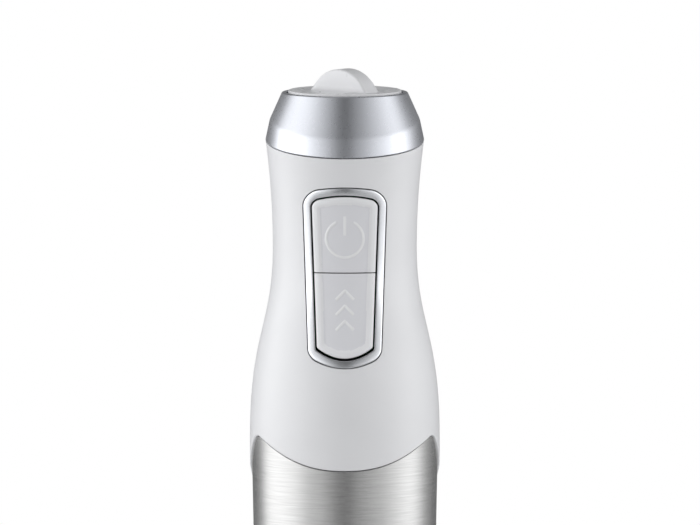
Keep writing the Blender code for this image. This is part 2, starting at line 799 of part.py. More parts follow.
def button_spring(name, z):
    start, end = (0, key_back(z) + SEAM, z), (0, switch_front() - SEAM, z)
    return coil(name, start, end, SPRING_R, SPRING_WIRE, 3, "plain_steel")


def control_board():
    return box("control_board", (-BOARD_HALF, BOARD_FRONT, BOARD_LOW),
               (BOARD_HALF, BOARD_FRONT + BOARD_THICKNESS, BOARD_TOP), "board")


def board_back():
    return BOARD_FRONT + BOARD_THICKNESS + SEAM


def board_carrier():
    """Bulkhead over the motor, with the upright plate that the control board is fixed to."""
    base, thickness = CHASSIS_TOP + SEAM, 2.0
    radius = handle_radius(base + thickness) - HANDLE_WALL - 2 * SEAM
    half, near, far = BOARD_HALF + 1.5, board_back(), board_back() + CARRIER_PLATE
    disc = rod("board_carrier", radius, (0, 0, base), (0, 0, base + thickness), "grey_plastic", ROUND_STEPS)
    plate = box("board_plate", (-half, near, base + thickness / 2), (half, far, BOARD_TOP + 2))
    hole = rod("lead_hole", 4.5, (0, 14, base - 1), (0, 14, base + thickness + 1))
    return cut(join(disc, plate), hole)


def filter_capacitor():
    near, low = board_back() + CARRIER_PLATE + SEAM, BOARD_LOW + 2
    return box("filter_capacitor", (-CAPACITOR_HALF, near, low),
               (CAPACITOR_HALF, near + CAPACITOR_HALF, low + CAPACITOR_HEIGHT), "bronze")


# ---- Motor

def bracket(name, bearing_low, rim_end):
    """End frame of the motor: a rim, a flanged web with air holes, and a cup for the bearing."""
    seat, inner = BEARING_R + RUNNING, STATOR_R - 1.6
    flange = chassis_radius() - CHASSIS_WALL - 2 * SEAM
    middle = bearing_low + BEARING_HEIGHT / 2
    web, cup, rim = 1.0, 3.0, abs(rim_end - middle)
    profile = [
        (STATOR_R, rim), (STATOR_R, web), (flange, web), (flange, -web), (seat + 1.8, -web),
        (seat + 1.8, -cup), (seat, -cup), (seat, cup), (seat + 1.8, cup), (seat + 1.8, web), (inner, web),
        (inner, rim)]
    if rim_end > middle:
        frame = turned(name, [(r, middle + z) for r, z in profile], "grey_plastic")
    else:
        frame = turned(name, [(r, middle - z) for r, z in reversed(profile)], "grey_plastic")
    for i in range(4):
        x, y, _ = round_axis((seat + inner) / 2, 90 * i + 40, 0)
        cut(frame, rod(f"{name}_air_{i}", AIR_HOLE_R, (x, y, middle - 4), (x, y, middle + 4), steps=12))
    return frame


def bearing(name, low):
    """Sealed ball bearing, with its shields set back from its outer ring."""
    top, bore, ring, set_back = low + BEARING_HEIGHT, SHAFT_R + RUNNING, 5.0, 0.4
    profile = [
        (BEARING_R, top), (BEARING_R, low), (ring, low), (ring, low + set_back), (bore, low + set_back),
        (bore, top - set_back), (ring, top - set_back), (ring, top)]
    return turned(name, profile, "plain_steel", ROD_STEPS)


def stator_core():
    """Ring of laminations with a pole on each side, at -X and +X."""
    low, high = MOTOR_Z - STACK / 2, MOTOR_Z + STACK / 2
    face, ring, neck = ROTOR_R + AIR_GAP, STATOR_R - STATOR_RING, 6.0
    neck_angle = math.degrees(math.asin(neck / ring))
    angle, shoe = math.radians(POLE_HALF_ANGLE), face + 2.3
    tip = (shoe * math.cos(angle), shoe * math.sin(angle))
    hole = []
    for side, start in ((1, 0), (-1, 180)):
        hole += arc((0, 0), face, start - POLE_HALF_ANGLE, start + POLE_HALF_ANGLE, 10)
        hole += [(side * tip[0], side * tip[1]), (side * (face + 0.9), side * neck)]
        hole += arc((0, 0), ring, start + neck_angle, start + 180 - neck_angle, 14)
        hole += [(-side * (face + 0.9), side * neck), (-side * tip[0], side * tip[1])]
    return extruded("stator_core", [circle(STATOR_R, ROUND_STEPS), hole], low, high, "lamination")


def field_coil(name, side):
    """Winding round a pole, between its shoe and the ring."""
    inner, outer = (6.4, STACK / 2 + 0.4), (10.4, STACK / 2 + 4.6)
    shoe, ring = ROTOR_R + AIR_GAP + 1.3, STATOR_R - STATOR_RING - 3.1
    near, far = sorted((side * shoe, side * ring))
    middle = (0, MOTOR_Z)
    return extruded(name, [rounded_box(*outer, 3.6, middle), rounded_box(*inner, 0.8, middle, 1)],
                    near, far, "copper", "X")


def armature_core():
    low, high = MOTOR_Z - STACK / 2, MOTOR_Z + STACK / 2
    outline = notched(ROTOR_R, SLOT_FLOOR_R, SLOT_HALF_WIDTH, SLOTS)
    return extruded("armature_core", [outline, circle(SHAFT_R + RUNNING, 16)], low, high, "lamination")


def armature_winding():
    """Copper in the armature's slots, joined by a ring of end turns above and below the core."""
    low, high = MOTOR_Z - STACK / 2 - SEAM, MOTOR_Z + STACK / 2 + SEAM

    outer, inner, height = ROTOR_R - 0.8, SHAFT_R + 0.9, 5.4

    def end_turns(name, start, material=None):
        end = start + height
        return turned(name, [(outer - 1.4, end), (outer, end - 1.4), (outer, start + 1.0),
                             (outer - 0.4, start), (inner, start), (inner, end)], material)

    winding = end_turns("armature_winding", high, "copper")
    bars = [end_turns("lower_end_turns", low - height)]
    half = SLOT_HALF_WIDTH - 0.4
    for i in range(SLOTS):
        bar = box(f"slot_bar_{i}", (SLOT_FLOOR_R + 0.4, -half, low - 0.5), (outer - 0.6, half, high + 0.5))
        bar.rotation_euler.z = 2 * math.pi * i / SLOTS
        bars.append(bar)
    return join(winding, *bars)


def motor_shaft():
    return rod("motor_shaft", SHAFT_R, (0, 0, DOG_LOW + 2), (0, 0, UPPER_BEARING_Z + BEARING_HEIGHT + 2),
               "plain_steel", 20)


def commutator():
    outline = notched(COMMUTATOR_R, COMMUTATOR_R - 0.8, 0.3, SLOTS, 2)
    return extruded("commutator", [outline, circle(SHAFT_R + RUNNING, 16)],
                    COMMUTATOR_LOW, COMMUTATOR_LOW + COMMUTATOR_HEIGHT, "copper")


def brush_span(side):
    """Near and far ends of a carbon brush on Y. Side is -1 or 1."""
    near = COMMUTATOR_R + BRUSH_GAP
    return sorted((side * near, side * (near + BRUSH[1])))


def brush_z():
    return COMMUTATOR_LOW + COMMUTATOR_HEIGHT / 2


def carbon_brush(name, side):
    low, high = brush_span(side)
    return box(name, (-BRUSH[0] / 2, low, brush_z() - BRUSH[2] / 2),
               (BRUSH[0] / 2, high, brush_z() + BRUSH[2] / 2), "carbon")


def brush_holder(name, side):
    """Brass tube round a brush, closed by the spring's stop at its outer end."""
    half_x, half_z = BRUSH[0] / 2 + 0.25, BRUSH[2] / 2 + 0.25
    start, stop = COMMUTATOR_R + 2.0, HOLDER_END - HOLDER_WALL
    low, high = sorted((side * start, side * HOLDER_END))
    holder = box(name, (-half_x - HOLDER_WALL, low, brush_z() - half_z - HOLDER_WALL),
                 (half_x + HOLDER_WALL, high, brush_z() + half_z + HOLDER_WALL + 1.2), "bronze")
    near, far = sorted((side * (start - 1), side * stop))
    bore = box(name + "_bore", (-half_x, near, brush_z() - half_z), (half_x, far, brush_z() + half_z))
    return cut(holder, bore)


def brush_spring(name, side):
    start = COMMUTATOR_R + BRUSH_GAP + BRUSH[1] + 0.2
    end = HOLDER_END - HOLDER_WALL - 0.2
    return coil(name, (0, side * start, brush_z()), (0, side * end, brush_z()), 1.7, 0.25, 3, "plain_steel")


def cooling_fan():
    """Radial fan: a disc with a hub and straight blades under it."""
    top = FAN_LOW + FAN_HEIGHT
    bore, hub, disc = SHAFT_R + RUNNING, SHAFT_R + 2.5, top - 1.2
    profile = [(FAN_R, top), (FAN_R, disc), (hub, disc), (hub, FAN_LOW), (bore, FAN_LOW), (bore, top)]
    fan = turned("cooling_fan", profile, "black_plastic")
    for i in range(FAN_BLADES):
        blade = box(f"fan_blade_{i}", (hub + 3.0, -0.5, FAN_LOW), (FAN_R - 0.6, 0.5, disc + 0.4))
        blade.rotation_euler.z = 2 * math.pi * i / FAN_BLADES
        join(fan, blade)
    return fan


# ---- Coupling between the motor unit and the leg

def coupling_socket():
    """White foot of the motor unit: a visible trim ring, and the socket that takes the leg's plug."""
    top, end = JOINT_Z + TRIM_HEIGHT, JOINT_Z + SOCKET_DEPTH
    bore, chamfer = PLUG_R + SEAM, TRIM_CHAMFER
    profile = [
        (bore + SOCKET_WALL, end + SOCKET_WEB), (bore + SOCKET_WALL, top), (TRIM_R, top),
        (TRIM_R, JOINT_Z + chamfer), (TRIM_R - chamfer, JOINT_Z), (bore, JOINT_Z), (bore, end),
        (SOCKET_HOLE_R, end), (SOCKET_HOLE_R, end + SOCKET_WEB)]
    socket = turned("coupling_socket", profile, "white_plastic", OUTER_STEPS)
    half_y, half_z = TOOTH_HALF_WIDTH + SLIDING, LATCH_THICKNESS / 2 + SLIDING
    for side in (-1, 1):
        z = latch_z(-side)
        near, far = sorted((side * (bore - 3), side * (bore + SOCKET_WALL + 1)))
        cut(socket, box(f"tooth_slot_{side + 1}", (near, -half_y, z - half_z), (far, half_y, z + half_z)))
    return socket


def latch_z(side):
    """The left button's plate (side -1) lies below the right button's."""
    return RELEASE_Z + side * LATCH_OFFSET


def latch_plate(name, side):
    """Ring round the socket, pushed by its button, with a tooth on the far side.

    The ring stands off the socket by its travel on the button's side, so its centre is off the axis.
    """
    z = latch_z(side)
    wall = PLUG_R + SEAM + SOCKET_WALL + SEAM
    shift = side * RELEASE_TRAVEL / 2
    inner = wall + RELEASE_TRAVEL / 2
    low, high = z - LATCH_THICKNESS / 2, z + LATCH_THICKNESS / 2
    plate = extruded(name, [circle(inner + LATCH_WIDTH, 40, (shift, 0)), circle(inner, 40, (shift, 0))],
                     low, high, "plain_steel")
    tip = -side * (PLUG_R - TOOTH_BITE)
    root = -side * (wall + 1.5)
    half = TOOTH_HALF_WIDTH
    tooth = box(name + "_tooth", (min(tip, root), -half, low), (max(tip, root), half, high))
    back = side * (release_back() - SEAM)
    start = side * (wall + RELEASE_TRAVEL + 1.5)
    stem = box(name + "_stem", (min(back, start), -3.0, low), (max(back, start), 3.0, high))
    return join(plate, tooth, stem)


def release_back():
    return sleeve_radius(RELEASE_Z) + RELEASE_PROUD - RELEASE_THICKNESS


def release_button(name, side):
    outline = rounded_box(RELEASE_HALF_WIDTH, RELEASE_HALF_HEIGHT, RELEASE_CORNER, (0, RELEASE_Z))
    near, far = sorted((side * release_back(), side * (TRIM_R + 4)))
    cap = extruded(name, [outline], near, far, "white_plastic", "X")
    face = rod(name + "_face", sleeve_radius(RELEASE_Z) + RELEASE_PROUD, (0, 0, RELEASE_Z - 9),
               (0, 0, RELEASE_Z + 9), steps=FINE_STEPS)
    return keep(cap, face)


def latch_spring(name, side):
    """Stands between the socket and the inside of its button, in the space between the two plates."""
    wall = PLUG_R + SEAM + SOCKET_WALL
    start = (side * (wall + 0.1), 0, RELEASE_Z)
    end = (side * (release_back() - 0.2), 0, RELEASE_Z)
    return coil(name, start, end, 1.0, 0.22, 3, "plain_steel")


def motor_dog():
    return extruded("motor_dog", [lobed(DOG_R, DOG_LOBE), circle(SHAFT_R + RUNNING, 16)],
                    DOG_LOW, JOINT_Z + SOCKET_DEPTH + SOCKET_WEB - 0.4, "black_plastic")


def leg_coupling():
    top = PLUG_TOP - 0.5
    low = top - CUP_HEIGHT
    cup = rod("leg_coupling", CUP_R, (0, 0, low), (0, 0, top), "pad_plastic", ROUND_STEPS)
    socket = extruded("leg_coupling_socket", [lobed(DOG_R + DOG_PLAY, DOG_LOBE)], DOG_LOW - 1, top + 1)
    bore = rod("leg_coupling_bore", DRIVE_R + RUNNING, (0, 0, low - 1), (0, 0, DOG_LOW), steps=16)
    return cut(cup, socket, bore)


# ---- Blending leg

def leg_hub():
    """White head of the leg: a plug with two keyways over a cone that flares to the motor unit."""
    narrow, spread, shoulder = LEG_R + SEAM, HUB_R - LEG_R - SEAM, JOINT_Z - SEAM
    rim, fall = JOINT_Z - HUB_RIM, JOINT_Z - HUB_RIM - HUB_LOW
    flare = [(narrow + spread * wide, HUB_LOW + fall * high) for wide, high in
             ((1.0, 1.0), (0.78, 0.78), (0.34, 0.4), (0.0, 0.0))]
    inner = list(reversed(offset(flare, -HUB_WALL)[:-1]))
    well = PLUG_TOP - 1.0 - CUP_HEIGHT
    bush_r, boss = BUSH_R + SEAM, BUSH_R + 3.5
    profile = [
        (PLUG_R - 0.8, PLUG_TOP), (PLUG_R, PLUG_TOP - 0.8), (PLUG_R, shoulder), (HUB_R, shoulder), *flare,
        (SPIGOT_R, HUB_LOW), (SPIGOT_R, HUB_LOW - SPIGOT_LENGTH), (SPIGOT_R - 1.5, HUB_LOW - SPIGOT_LENGTH),
        (SPIGOT_R - 1.5, HUB_LOW), *inner, (boss, rim), (boss, JOINT_Z - 8), (bush_r, JOINT_Z - 8),
        (bush_r, well), (PLUG_WELL_R, well), (PLUG_WELL_R, PLUG_TOP)]
    hub = turned("leg_hub", profile, "white_plastic", OUTER_STEPS)
    half = TOOTH_HALF_WIDTH + SLIDING
    for side in (-1, 1):
        near, far = sorted((side * (PLUG_R - 2), side * (PLUG_R + 4)))
        cut(hub, box(f"keyway_{side + 1}", (near, -half, JOINT_Z + 6), (far, half, PLUG_TOP + 1)))
    return hub


def bush(name, low, high):
    bore = DRIVE_R + RUNNING
    return turned(name, [(BUSH_R, high), (BUSH_R, low), (bore, low), (bore, high)], "bronze", ROD_STEPS)


def leg_tube():
    inner, top = LEG_R - LEG_WALL, HUB_LOW - SEAM
    profile = [(LEG_R, top), (LEG_R, LEG_LOW), (inner, LEG_LOW), (inner, top)]
    return turned("leg_tube", profile, "brushed_steel", OUTER_STEPS)


def bell_curve():
    """Outer side of the bell, from the neck down to the rim."""
    steps = 6
    points = [(LEG_R, LEG_LOW - SEAM)]
    for i in range(steps + 1):
        t = i / steps
        height = BELL_NECK_Z + (BELL_RIM_HEIGHT - BELL_NECK_Z) * t
        points.append((LEG_R + (BELL_R - LEG_R) * (3 * t ** 2 - 2 * t ** 3), height))
    return points + [(BELL_R, 0.0)]


def bell_guard():
    """Steel bell on a spigot that enters the tube, with four arches in its rim."""
    outer = bell_curve()
    inner = list(reversed(offset(outer, -BELL_WALL)[1:-1]))
    top, bore = LEG_LOW + BELL_SPIGOT, SPIGOT_R - BELL_WALL
    profile = [
        (SPIGOT_R, top), (SPIGOT_R, LEG_LOW - SEAM), *outer, (BELL_R - BELL_WALL, 0.0), *inner,
        (bore, LEG_LOW - 3), (bore, top)]
    bell = turned("bell_guard", profile, "brushed_steel", OUTER_STEPS)
    reach = BELL_R + 5
    across_x = rod("arches_x", ARCH_R, (-reach, 0, ARCH_Z), (reach, 0, ARCH_Z), steps=16)
    across_y = rod("arches_y", ARCH_R, (0, -reach, ARCH_Z), (0, reach, ARCH_Z), steps=16)
    return cut(bell, across_x, across_y)


def blade_carrier():
    """Hub inside the bell that holds the lower bush and the seal."""
    neck, top = SPIGOT_R - BELL_WALL - SEAM, LEG_LOW + BELL_SPIGOT - 1
    seal, bush_r, step = SEAL_R + SEAM, BUSH_R + SEAM, CARRIER_LOW + SEAL_HEIGHT + 0.5
    profile = [
        (neck, top), (neck, LEG_LOW - 4), (CARRIER_R + 1.6, LEG_LOW - 13), (CARRIER_R, CARRIER_LOW + 8),
        (CARRIER_R, CARRIER_LOW), (seal, CARRIER_LOW), (seal, step), (bush_r, step),
        (bush_r, LEG_LOW - 10), (neck - 1.6, LEG_LOW + 1), (neck - 1.6, top)]
    return turned("blade_carrier", profile, "white_plastic", ROD_STEPS)


def shaft_seal():
    bore, relief = DRIVE_R + RUNNING, DRIVE_R + RUNNING + 1.0
    low = CARRIER_LOW + 0.2
    high = low + SEAL_HEIGHT
    profile = [(SEAL_R, high), (SEAL_R, low), (relief, low), (bore, low + 1.2), (bore, high - 1.2),
               (relief, high)]
    return turned("shaft_seal", profile, "rubber", ROD_STEPS)


def drive_shaft():
    return rod("drive_shaft", DRIVE_R, (0, 0, DRIVE_LOW), (0, 0, DOG_LOW - 1.5), "plain_steel", 20)


def blade():
    """Four wings on a hub, two bent up and two bent down, on the diagonals of the bell."""
    low, high = BLADE_Z - BLADE_THICKNESS / 2, BLADE_Z + BLADE_THICKNESS / 2
    cross = rod("cross_blade", BLADE_HUB_R, (0, 0, low), (0, 0, high), "plain_steel")
    bend = BLADE_HUB_R - 0.6
    root, tip, reach = BLADE_WIDTH / 2, BLADE_WIDTH / 4, BLADE_REACH - bend
    half = BLADE_THICKNESS / 2 - 0.05
    outline = [(-0.8, -root), (7.0, -root), (reach - 2.5, -tip - 1.2), (reach, tip - 1.0),
               (reach - 1.5, tip + 0.6), (9.0, root - 0.4), (-0.8, root)]
    for i in range(4):
        wing = extruded(f"blade_wing_{i}", [outline], -half, half)
        tilt = math.radians(BLADE_TILT if i % 2 else -BLADE_TILT)
        turn = Matrix.Rotation(math.radians(45 + 90 * i), 4, "Z")
        out = Matrix.Translation((bend * MM, 0, BLADE_Z * MM))
        wing.matrix_world = turn @ out @ Matrix.Rotation(-tilt, 4, "Y")
        join(cross, wing)
    return cut(cross, rod("blade_bore", DRIVE_R + RUNNING, (0, 0, low - 3), (0, 0, high + 3), steps=16))


def blade_nut():
    """Closed nut on the end of the shaft, with a hollow for the shaft's end."""
    top = BLADE_Z - BLADE_THICKNESS / 2 - SEAM
    profile = [
        (0, top), (NUT_R, top), (NUT_R, top - 2.0), (NUT_R - 0.8, top - 3.2), (NUT_R - 2.6, top - 3.9),
        (0, top - NUT_HEIGHT)]
    nut = turned("blade_nut", profile, "plain_steel", ROD_STEPS)
    bore = rod("blade_nut_bore", DRIVE_R + RUNNING, (0, 0, DRIVE_LOW - SEAM), (0, 0, top + 2), steps=16)
    return cut(nut, bore)


def main():
    front_housing()
    rear_housing()
    steel_sleeve()
    chassis()
    top_collar()
    dial_seat()
    potentiometer()
    potentiometer_shaft()
    speed_dial()
    cord_gland()
    button_bezel()
    split = SLIDING / 2
    keys = (("speed", BUTTON_SPLIT + split, PANEL_TOP + 1, SPEED_SWITCH_Z),
            ("turbo", PANEL_LOW - 1, BUTTON_SPLIT - split, TURBO_SWITCH_Z))
    for name, low, high, z in keys:
        button(name + "_button", low, high, z)
        button_pad(name + "_button_pad", low, high)
        switch(name + "_switch", z)
        button_spring(name + "_button_spring", z)
    control_board()
    board_carrier()
    filter_capacitor()
    core_low, core_top = MOTOR_Z - STACK / 2 - SEAM, MOTOR_Z + STACK / 2 + SEAM
    bracket("lower_motor_bracket", LOWER_BEARING_Z, core_low)
    bracket("upper_motor_bracket", UPPER_BEARING_Z, core_top)
    bearing("lower_bearing", LOWER_BEARING_Z)
    bearing("upper_bearing", UPPER_BEARING_Z)
    stator_core()
    armature_core()
    armature_winding()
    motor_shaft()
    commutator()
    cooling_fan()
    coupling_socket()
    motor_dog()
    for name, side in (("left", -1), ("right", 1)):
        field_coil("field_coil_" + name, side)
        release_button("release_button_" + name, side)
        latch_plate("latch_plate_" + name, side)
        latch_spring("latch_spring_" + name, side)
    for name, side in (("front", -1), ("rear", 1)):
        carbon_brush("carbon_brush_" + name, side)
        brush_holder("brush_holder_" + name, side)
        brush_spring("brush_spring_" + name, side)
    leg_coupling()
    leg_hub()
    bush("upper_leg_bush", JOINT_Z - 7, PLUG_TOP - 1.5 - CUP_HEIGHT)
    bush("lower_leg_bush", CARRIER_LOW + SEAL_HEIGHT + 1, LEG_LOW - 10.5)
    leg_tube()
    bell_guard()
    blade_carrier()
    shaft_seal()
    drive_shaft()
    blade()
    blade_nut()


main()
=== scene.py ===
"""Looks of the immersion blender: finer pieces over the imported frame, their materials, a studio and a camera.

Shapes are worked out in millimetres in the frame's axes (+Z up, -Y the button side) and become metres
when they are placed. An azimuth is measured from -Y and grows towards +X.
"""

import json
import math
from functools import lru_cache

import bmesh
import bpy
from mathutils import Matrix, Vector

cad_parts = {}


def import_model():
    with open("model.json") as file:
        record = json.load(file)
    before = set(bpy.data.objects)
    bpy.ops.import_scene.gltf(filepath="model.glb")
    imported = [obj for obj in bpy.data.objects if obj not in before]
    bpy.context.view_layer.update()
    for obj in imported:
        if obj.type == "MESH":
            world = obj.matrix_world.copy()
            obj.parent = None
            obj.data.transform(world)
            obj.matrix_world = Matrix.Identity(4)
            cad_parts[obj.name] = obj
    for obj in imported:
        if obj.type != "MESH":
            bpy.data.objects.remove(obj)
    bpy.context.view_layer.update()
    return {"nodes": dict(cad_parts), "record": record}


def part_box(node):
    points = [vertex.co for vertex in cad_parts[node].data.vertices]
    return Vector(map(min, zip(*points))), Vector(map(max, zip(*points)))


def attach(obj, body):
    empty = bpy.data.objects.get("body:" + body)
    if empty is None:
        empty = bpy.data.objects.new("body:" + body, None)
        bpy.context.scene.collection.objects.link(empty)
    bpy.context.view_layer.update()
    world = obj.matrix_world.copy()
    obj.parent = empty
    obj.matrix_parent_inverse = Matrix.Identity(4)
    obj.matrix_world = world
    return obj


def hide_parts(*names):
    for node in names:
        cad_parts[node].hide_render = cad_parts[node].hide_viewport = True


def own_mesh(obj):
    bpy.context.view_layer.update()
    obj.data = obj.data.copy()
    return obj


MM = 0.001
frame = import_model()


def low(node, axis):
    """Lowest coordinate of a CAD node on an axis, in millimetres."""
    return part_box(node)[0]["XYZ".index(axis)] / MM


def high(node, axis):
    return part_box(node)[1]["XYZ".index(axis)] / MM


# ---- Sizes that the pieces share with the frame, in millimetres

SEAM = 0.3
HIP_R = high("front_housing", "X")
COLLAR_TOP = high("top_collar", "Z")
JOINT_Z = low("coupling_socket", "Z")
DIAL_TOP = high("speed_dial", "Z")
COLLAR_DIP = 4.0
COLLAR_LOW = low("top_collar", "Z") + COLLAR_DIP
COLLAR_KINK = COLLAR_LOW + 7.0
HANDLE_TOP_R, WAIST_R, WAIST_Z, HIP_Z = 27.5, 25.0, 338.0, 272.0
WAIST_EASE, HIP_EASE = 0.41, 0.55
HANDLE_WALL, COLLAR_WALL = 2.2, 1.3
LOBE_Z, LOBE_POWER = HIP_Z - 9.0, 2.4
EAR_Z, EAR_AZIMUTH, REAR_FALL, EAR_ROUNDING = HIP_Z + 2.3, 70.0, 34.5, 2.0
TRIM_HEIGHT = 5.5
SLEEVE_LOW_Z = JOINT_Z + TRIM_HEIGHT
SLEEVE_TOP_R, SLEEVE_LOW_R, SLEEVE_WALL = 32.4, 30.7, 0.8
LIP_R, LIP_HOLE_R, KINK_R = 21.8, 20.3, 26.1
DIAL_R = high("speed_dial", "X")
DIAL_RIM_Z, DISH_Z = COLLAR_TOP + 0.7, COLLAR_TOP
DIAL_CORE, DIAL_EDGE, DIAL_SKIRT = 18.2, 0.5, 2.2
DISH_R, DISH_EASE = 13.4, 2.6
FIN_R, FIN_HALF, FIN_TURN = 13.5, 3.5, -40.0
FIN_CROWN, FIN_DRAFT, FIN_ROOT, FIN_END_EASE = 0.75, 0.16, 2.4, 0.8
PANEL_TOP, PANEL_LOW = high("button_bezel", "Z"), low("button_bezel", "Z")
PANEL_TOP_HALF = high("button_bezel", "X")
PANEL_LOW_HALF = PANEL_TOP_HALF - 1.7
PANEL_CROWN, PANEL_SAG = 1.9, 5.0
PANEL_TOP_CORNER, PANEL_LOW_CORNER = 5.2, 2.6
BEZEL_WIDTH, BEZEL_DEPTH = 2.5, 2.6
BEZEL_GROOVE = 0.3
KEY_GAP, KEY_LOW_GAP = 0.5, 0.8
KEY_SPLIT_GAP = 0.3
KEY_SPLIT = (low("speed_button", "Z") + high("turbo_button", "Z")) / 2
KEY_PROUD, KEY_DEPTH, KEY_HUMP = 0.7, 2.8, 0.16
KEY_EDGE, KEY_SPLIT_EDGE = 0.6, 0.28
PAD_MARGIN, PAD_RECESS = 2.8, 0.38
PAD_EDGE, PAD_RUN = 1.75, 1.5
STROKE_WIDTH, STROKE_HEIGHT = 0.95, 0.2
POWER_Z, POWER_R = 343.1, 6.45
CHEVRON_TOP, CHEVRON_PITCH, CHEVRON_HALF = 325.2, 5.2, 3.1
RELEASE_Z = (low("release_button_left", "Z") + high("release_button_left", "Z")) / 2
RELEASE_HALF_WIDTH, RELEASE_HALF_HEIGHT, RELEASE_CORNER = 8.7, 5.7, 2.7
RELEASE_PROUD, RELEASE_THICKNESS, RELEASE_TRAVEL = 1.2, 1.85, 2.5
RELEASE_GAP, RELEASE_DEPTH = 0.35, 0.9
GLAND_Z = (low("cord_gland", "Z") + high("cord_gland", "Z")) / 2
GLAND_HOLE_R = 5.3
LEG_R, LEG_LOW = high("leg_tube", "X"), low("leg_tube", "Z")
HUB_TOP, HUB_LOW = high("leg_hub", "Z"), LEG_LOW + 96.3
SPIGOT_R = 14.9      # what goes into either end of the leg's tube
KEYWAY_HALF = 4.35   # half the width of the keyways of the leg and their slots in the socket
SHAFT_BORE = 5.3
BELL_R, BELL_NECK_Z, BELL_RIM_Z = high("bell_guard", "X"), 50.0, 14.0
ARCH_R, ARCH_Z = 9.5, -1.0
BLADE_Z = (low("cross_blade", "Z") + high("cross_blade", "Z")) / 2

ROUND = 160          # steps round a large turned piece
SMALL = 64           # steps round a small one
SHARP = 38           # edges bent more than this many degrees stay sharp
CUT_FROM, CUT_TO = 8.0, HIP_R + 6.0      # depths between which the handle is opened


# ---- Outlines

def eased(points, steps=5):
    """The outline with each corner rounded whose third value says how far from it the rounding starts."""
    made = []
    for i, (x, y, *reach) in enumerate(points):
        corner = Vector((x, y))
        if not reach:
            made.append((x, y))
            continue
        before = Vector(points[i - 1][:2]) - corner
        after = Vector(points[(i + 1) % len(points)][:2]) - corner
        start = corner + before.normalized() * reach[0]
        end = corner + after.normalized() * reach[0]
        for j in range(steps + 1):
            t = j / steps
            p = start * (1 - t) ** 2 + corner * 2 * t * (1 - t) + end * t ** 2
            made.append((p.x, p.y))
    return made


def arc(centre, radius, start, end, steps):
    angles = [math.radians(start + (end - start) * i / steps) for i in range(steps + 1)]
    return [(centre[0] + radius * math.cos(a), centre[1] + radius * math.sin(a)) for a in angles]


def resampled(points, count):
    """An open outline as this many points, evenly spaced along it."""
    lengths = [0.0]
    for a, b in zip(points, points[1:]):
        lengths.append(lengths[-1] + math.dist(a, b))
    made, j = [], 0
    for i in range(count):
        wanted = lengths[-1] * i / (count - 1)
        while j < len(points) - 2 and lengths[j + 1] < wanted:
            j += 1
        span = lengths[j + 1] - lengths[j]
        share = (wanted - lengths[j]) / span if span else 0.0
        made.append(tuple(a + (b - a) * share for a, b in zip(points[j], points[j + 1])))
    return made


def mirrored(half):
    """A closed outline from its right half, which runs from the top's middle to the bottom's middle."""
    return half + [(-x, z) for x, z in reversed(half[1:-1])]


def rounded_box(half_width, half_height, corner, centre=(0.0, 0.0), count=96):
    x, y = half_width - corner, half_height - corner
    right = [(0.0, half_height)] + arc((x, y), corner, 90, 0, 8) + arc((x, -y), corner, 0, -90, 8)
    half = resampled(right + [(0.0, -half_height)], count // 2 + 1)
    return [(centre[0] + a, centre[1] + b) for a, b in mirrored(half)]


def half_panel(inset, bottom=None, top=None, raised=0.0):
    """Right half of the control panel's outline as (x, z), from the top's middle down, cut at two heights."""
    upper, lower = PANEL_TOP - inset, PANEL_LOW + inset + raised
    top_r, low_r = max(PANEL_TOP_CORNER - inset, 0.8), max(PANEL_LOW_CORNER - inset, 0.5)
    top_x, low_x = PANEL_TOP_HALF - inset - top_r, PANEL_LOW_HALF - inset - low_r
    points = [(top_x * i / 12, upper) for i in range(12)]
    points += arc((top_x, upper - top_r), top_r, 90, 0, 12)
    points += arc((low_x, lower + low_r), low_r, 0, -90, 12)
    points += [(low_x * i / 12, lower) for i in range(11, -1, -1)]
    bowed = []
    for x, z in points:
        height = (z - lower) / (upper - lower)
        share = (x / (PANEL_TOP_HALF - inset)) ** 2
        bowed.append((x, z - share * (PANEL_CROWN * height - PANEL_SAG * (1 - height))))
    if top is not None:
        bowed = cut_above(bowed, top)
    if bottom is not None:
        bowed = [(x, -z) for x, z in cut_above([(x, -z) for x, z in reversed(bowed)], -bottom)][::-1]
    return bowed


def cut_above(half, limit):
    """A half outline without what lies above a height: it starts at the middle of the cut."""
    for i, (x, z) in enumerate(half):
        if z <= limit:
            x0, z0 = half[i - 1]
            crossing = x0 + (x - x0) * (limit - z0) / (z - z0)
            return [(0.0, limit), (crossing, limit)] + half[i:]
    return half


# ---- Surfaces of the handle

@lru_cache(maxsize=None)
def handle_radius(z):
    """Outer radius of the white handle: flared above the waist, and an S curve down to the hip."""
    if z >= WAIST_Z:
        return WAIST_R + (HANDLE_TOP_R - WAIST_R) * ((z - WAIST_Z) / (COLLAR_LOW - WAIST_Z)) ** 2
    if z <= HIP_Z:
        return HIP_R
    fall = (WAIST_Z - z) / (WAIST_Z - HIP_Z)
    least, most = 0.0, 1.0
    for _ in range(30):
        u = (least + most) / 2
        reached = 3 * (1 - u) ** 2 * u * WAIST_EASE + 3 * (1 - u) * u ** 2 * (1 - HIP_EASE) + u ** 3
        least, most = (u, most) if reached < fall else (least, u)
    return WAIST_R + (HIP_R - WAIST_R) * (3 * u ** 2 - 2 * u ** 3)


def sleeve_radius(z):
    return SLEEVE_LOW_R + (SLEEVE_TOP_R - SLEEVE_LOW_R) * (z - SLEEVE_LOW_Z) / (HIP_Z - SLEEVE_LOW_Z)


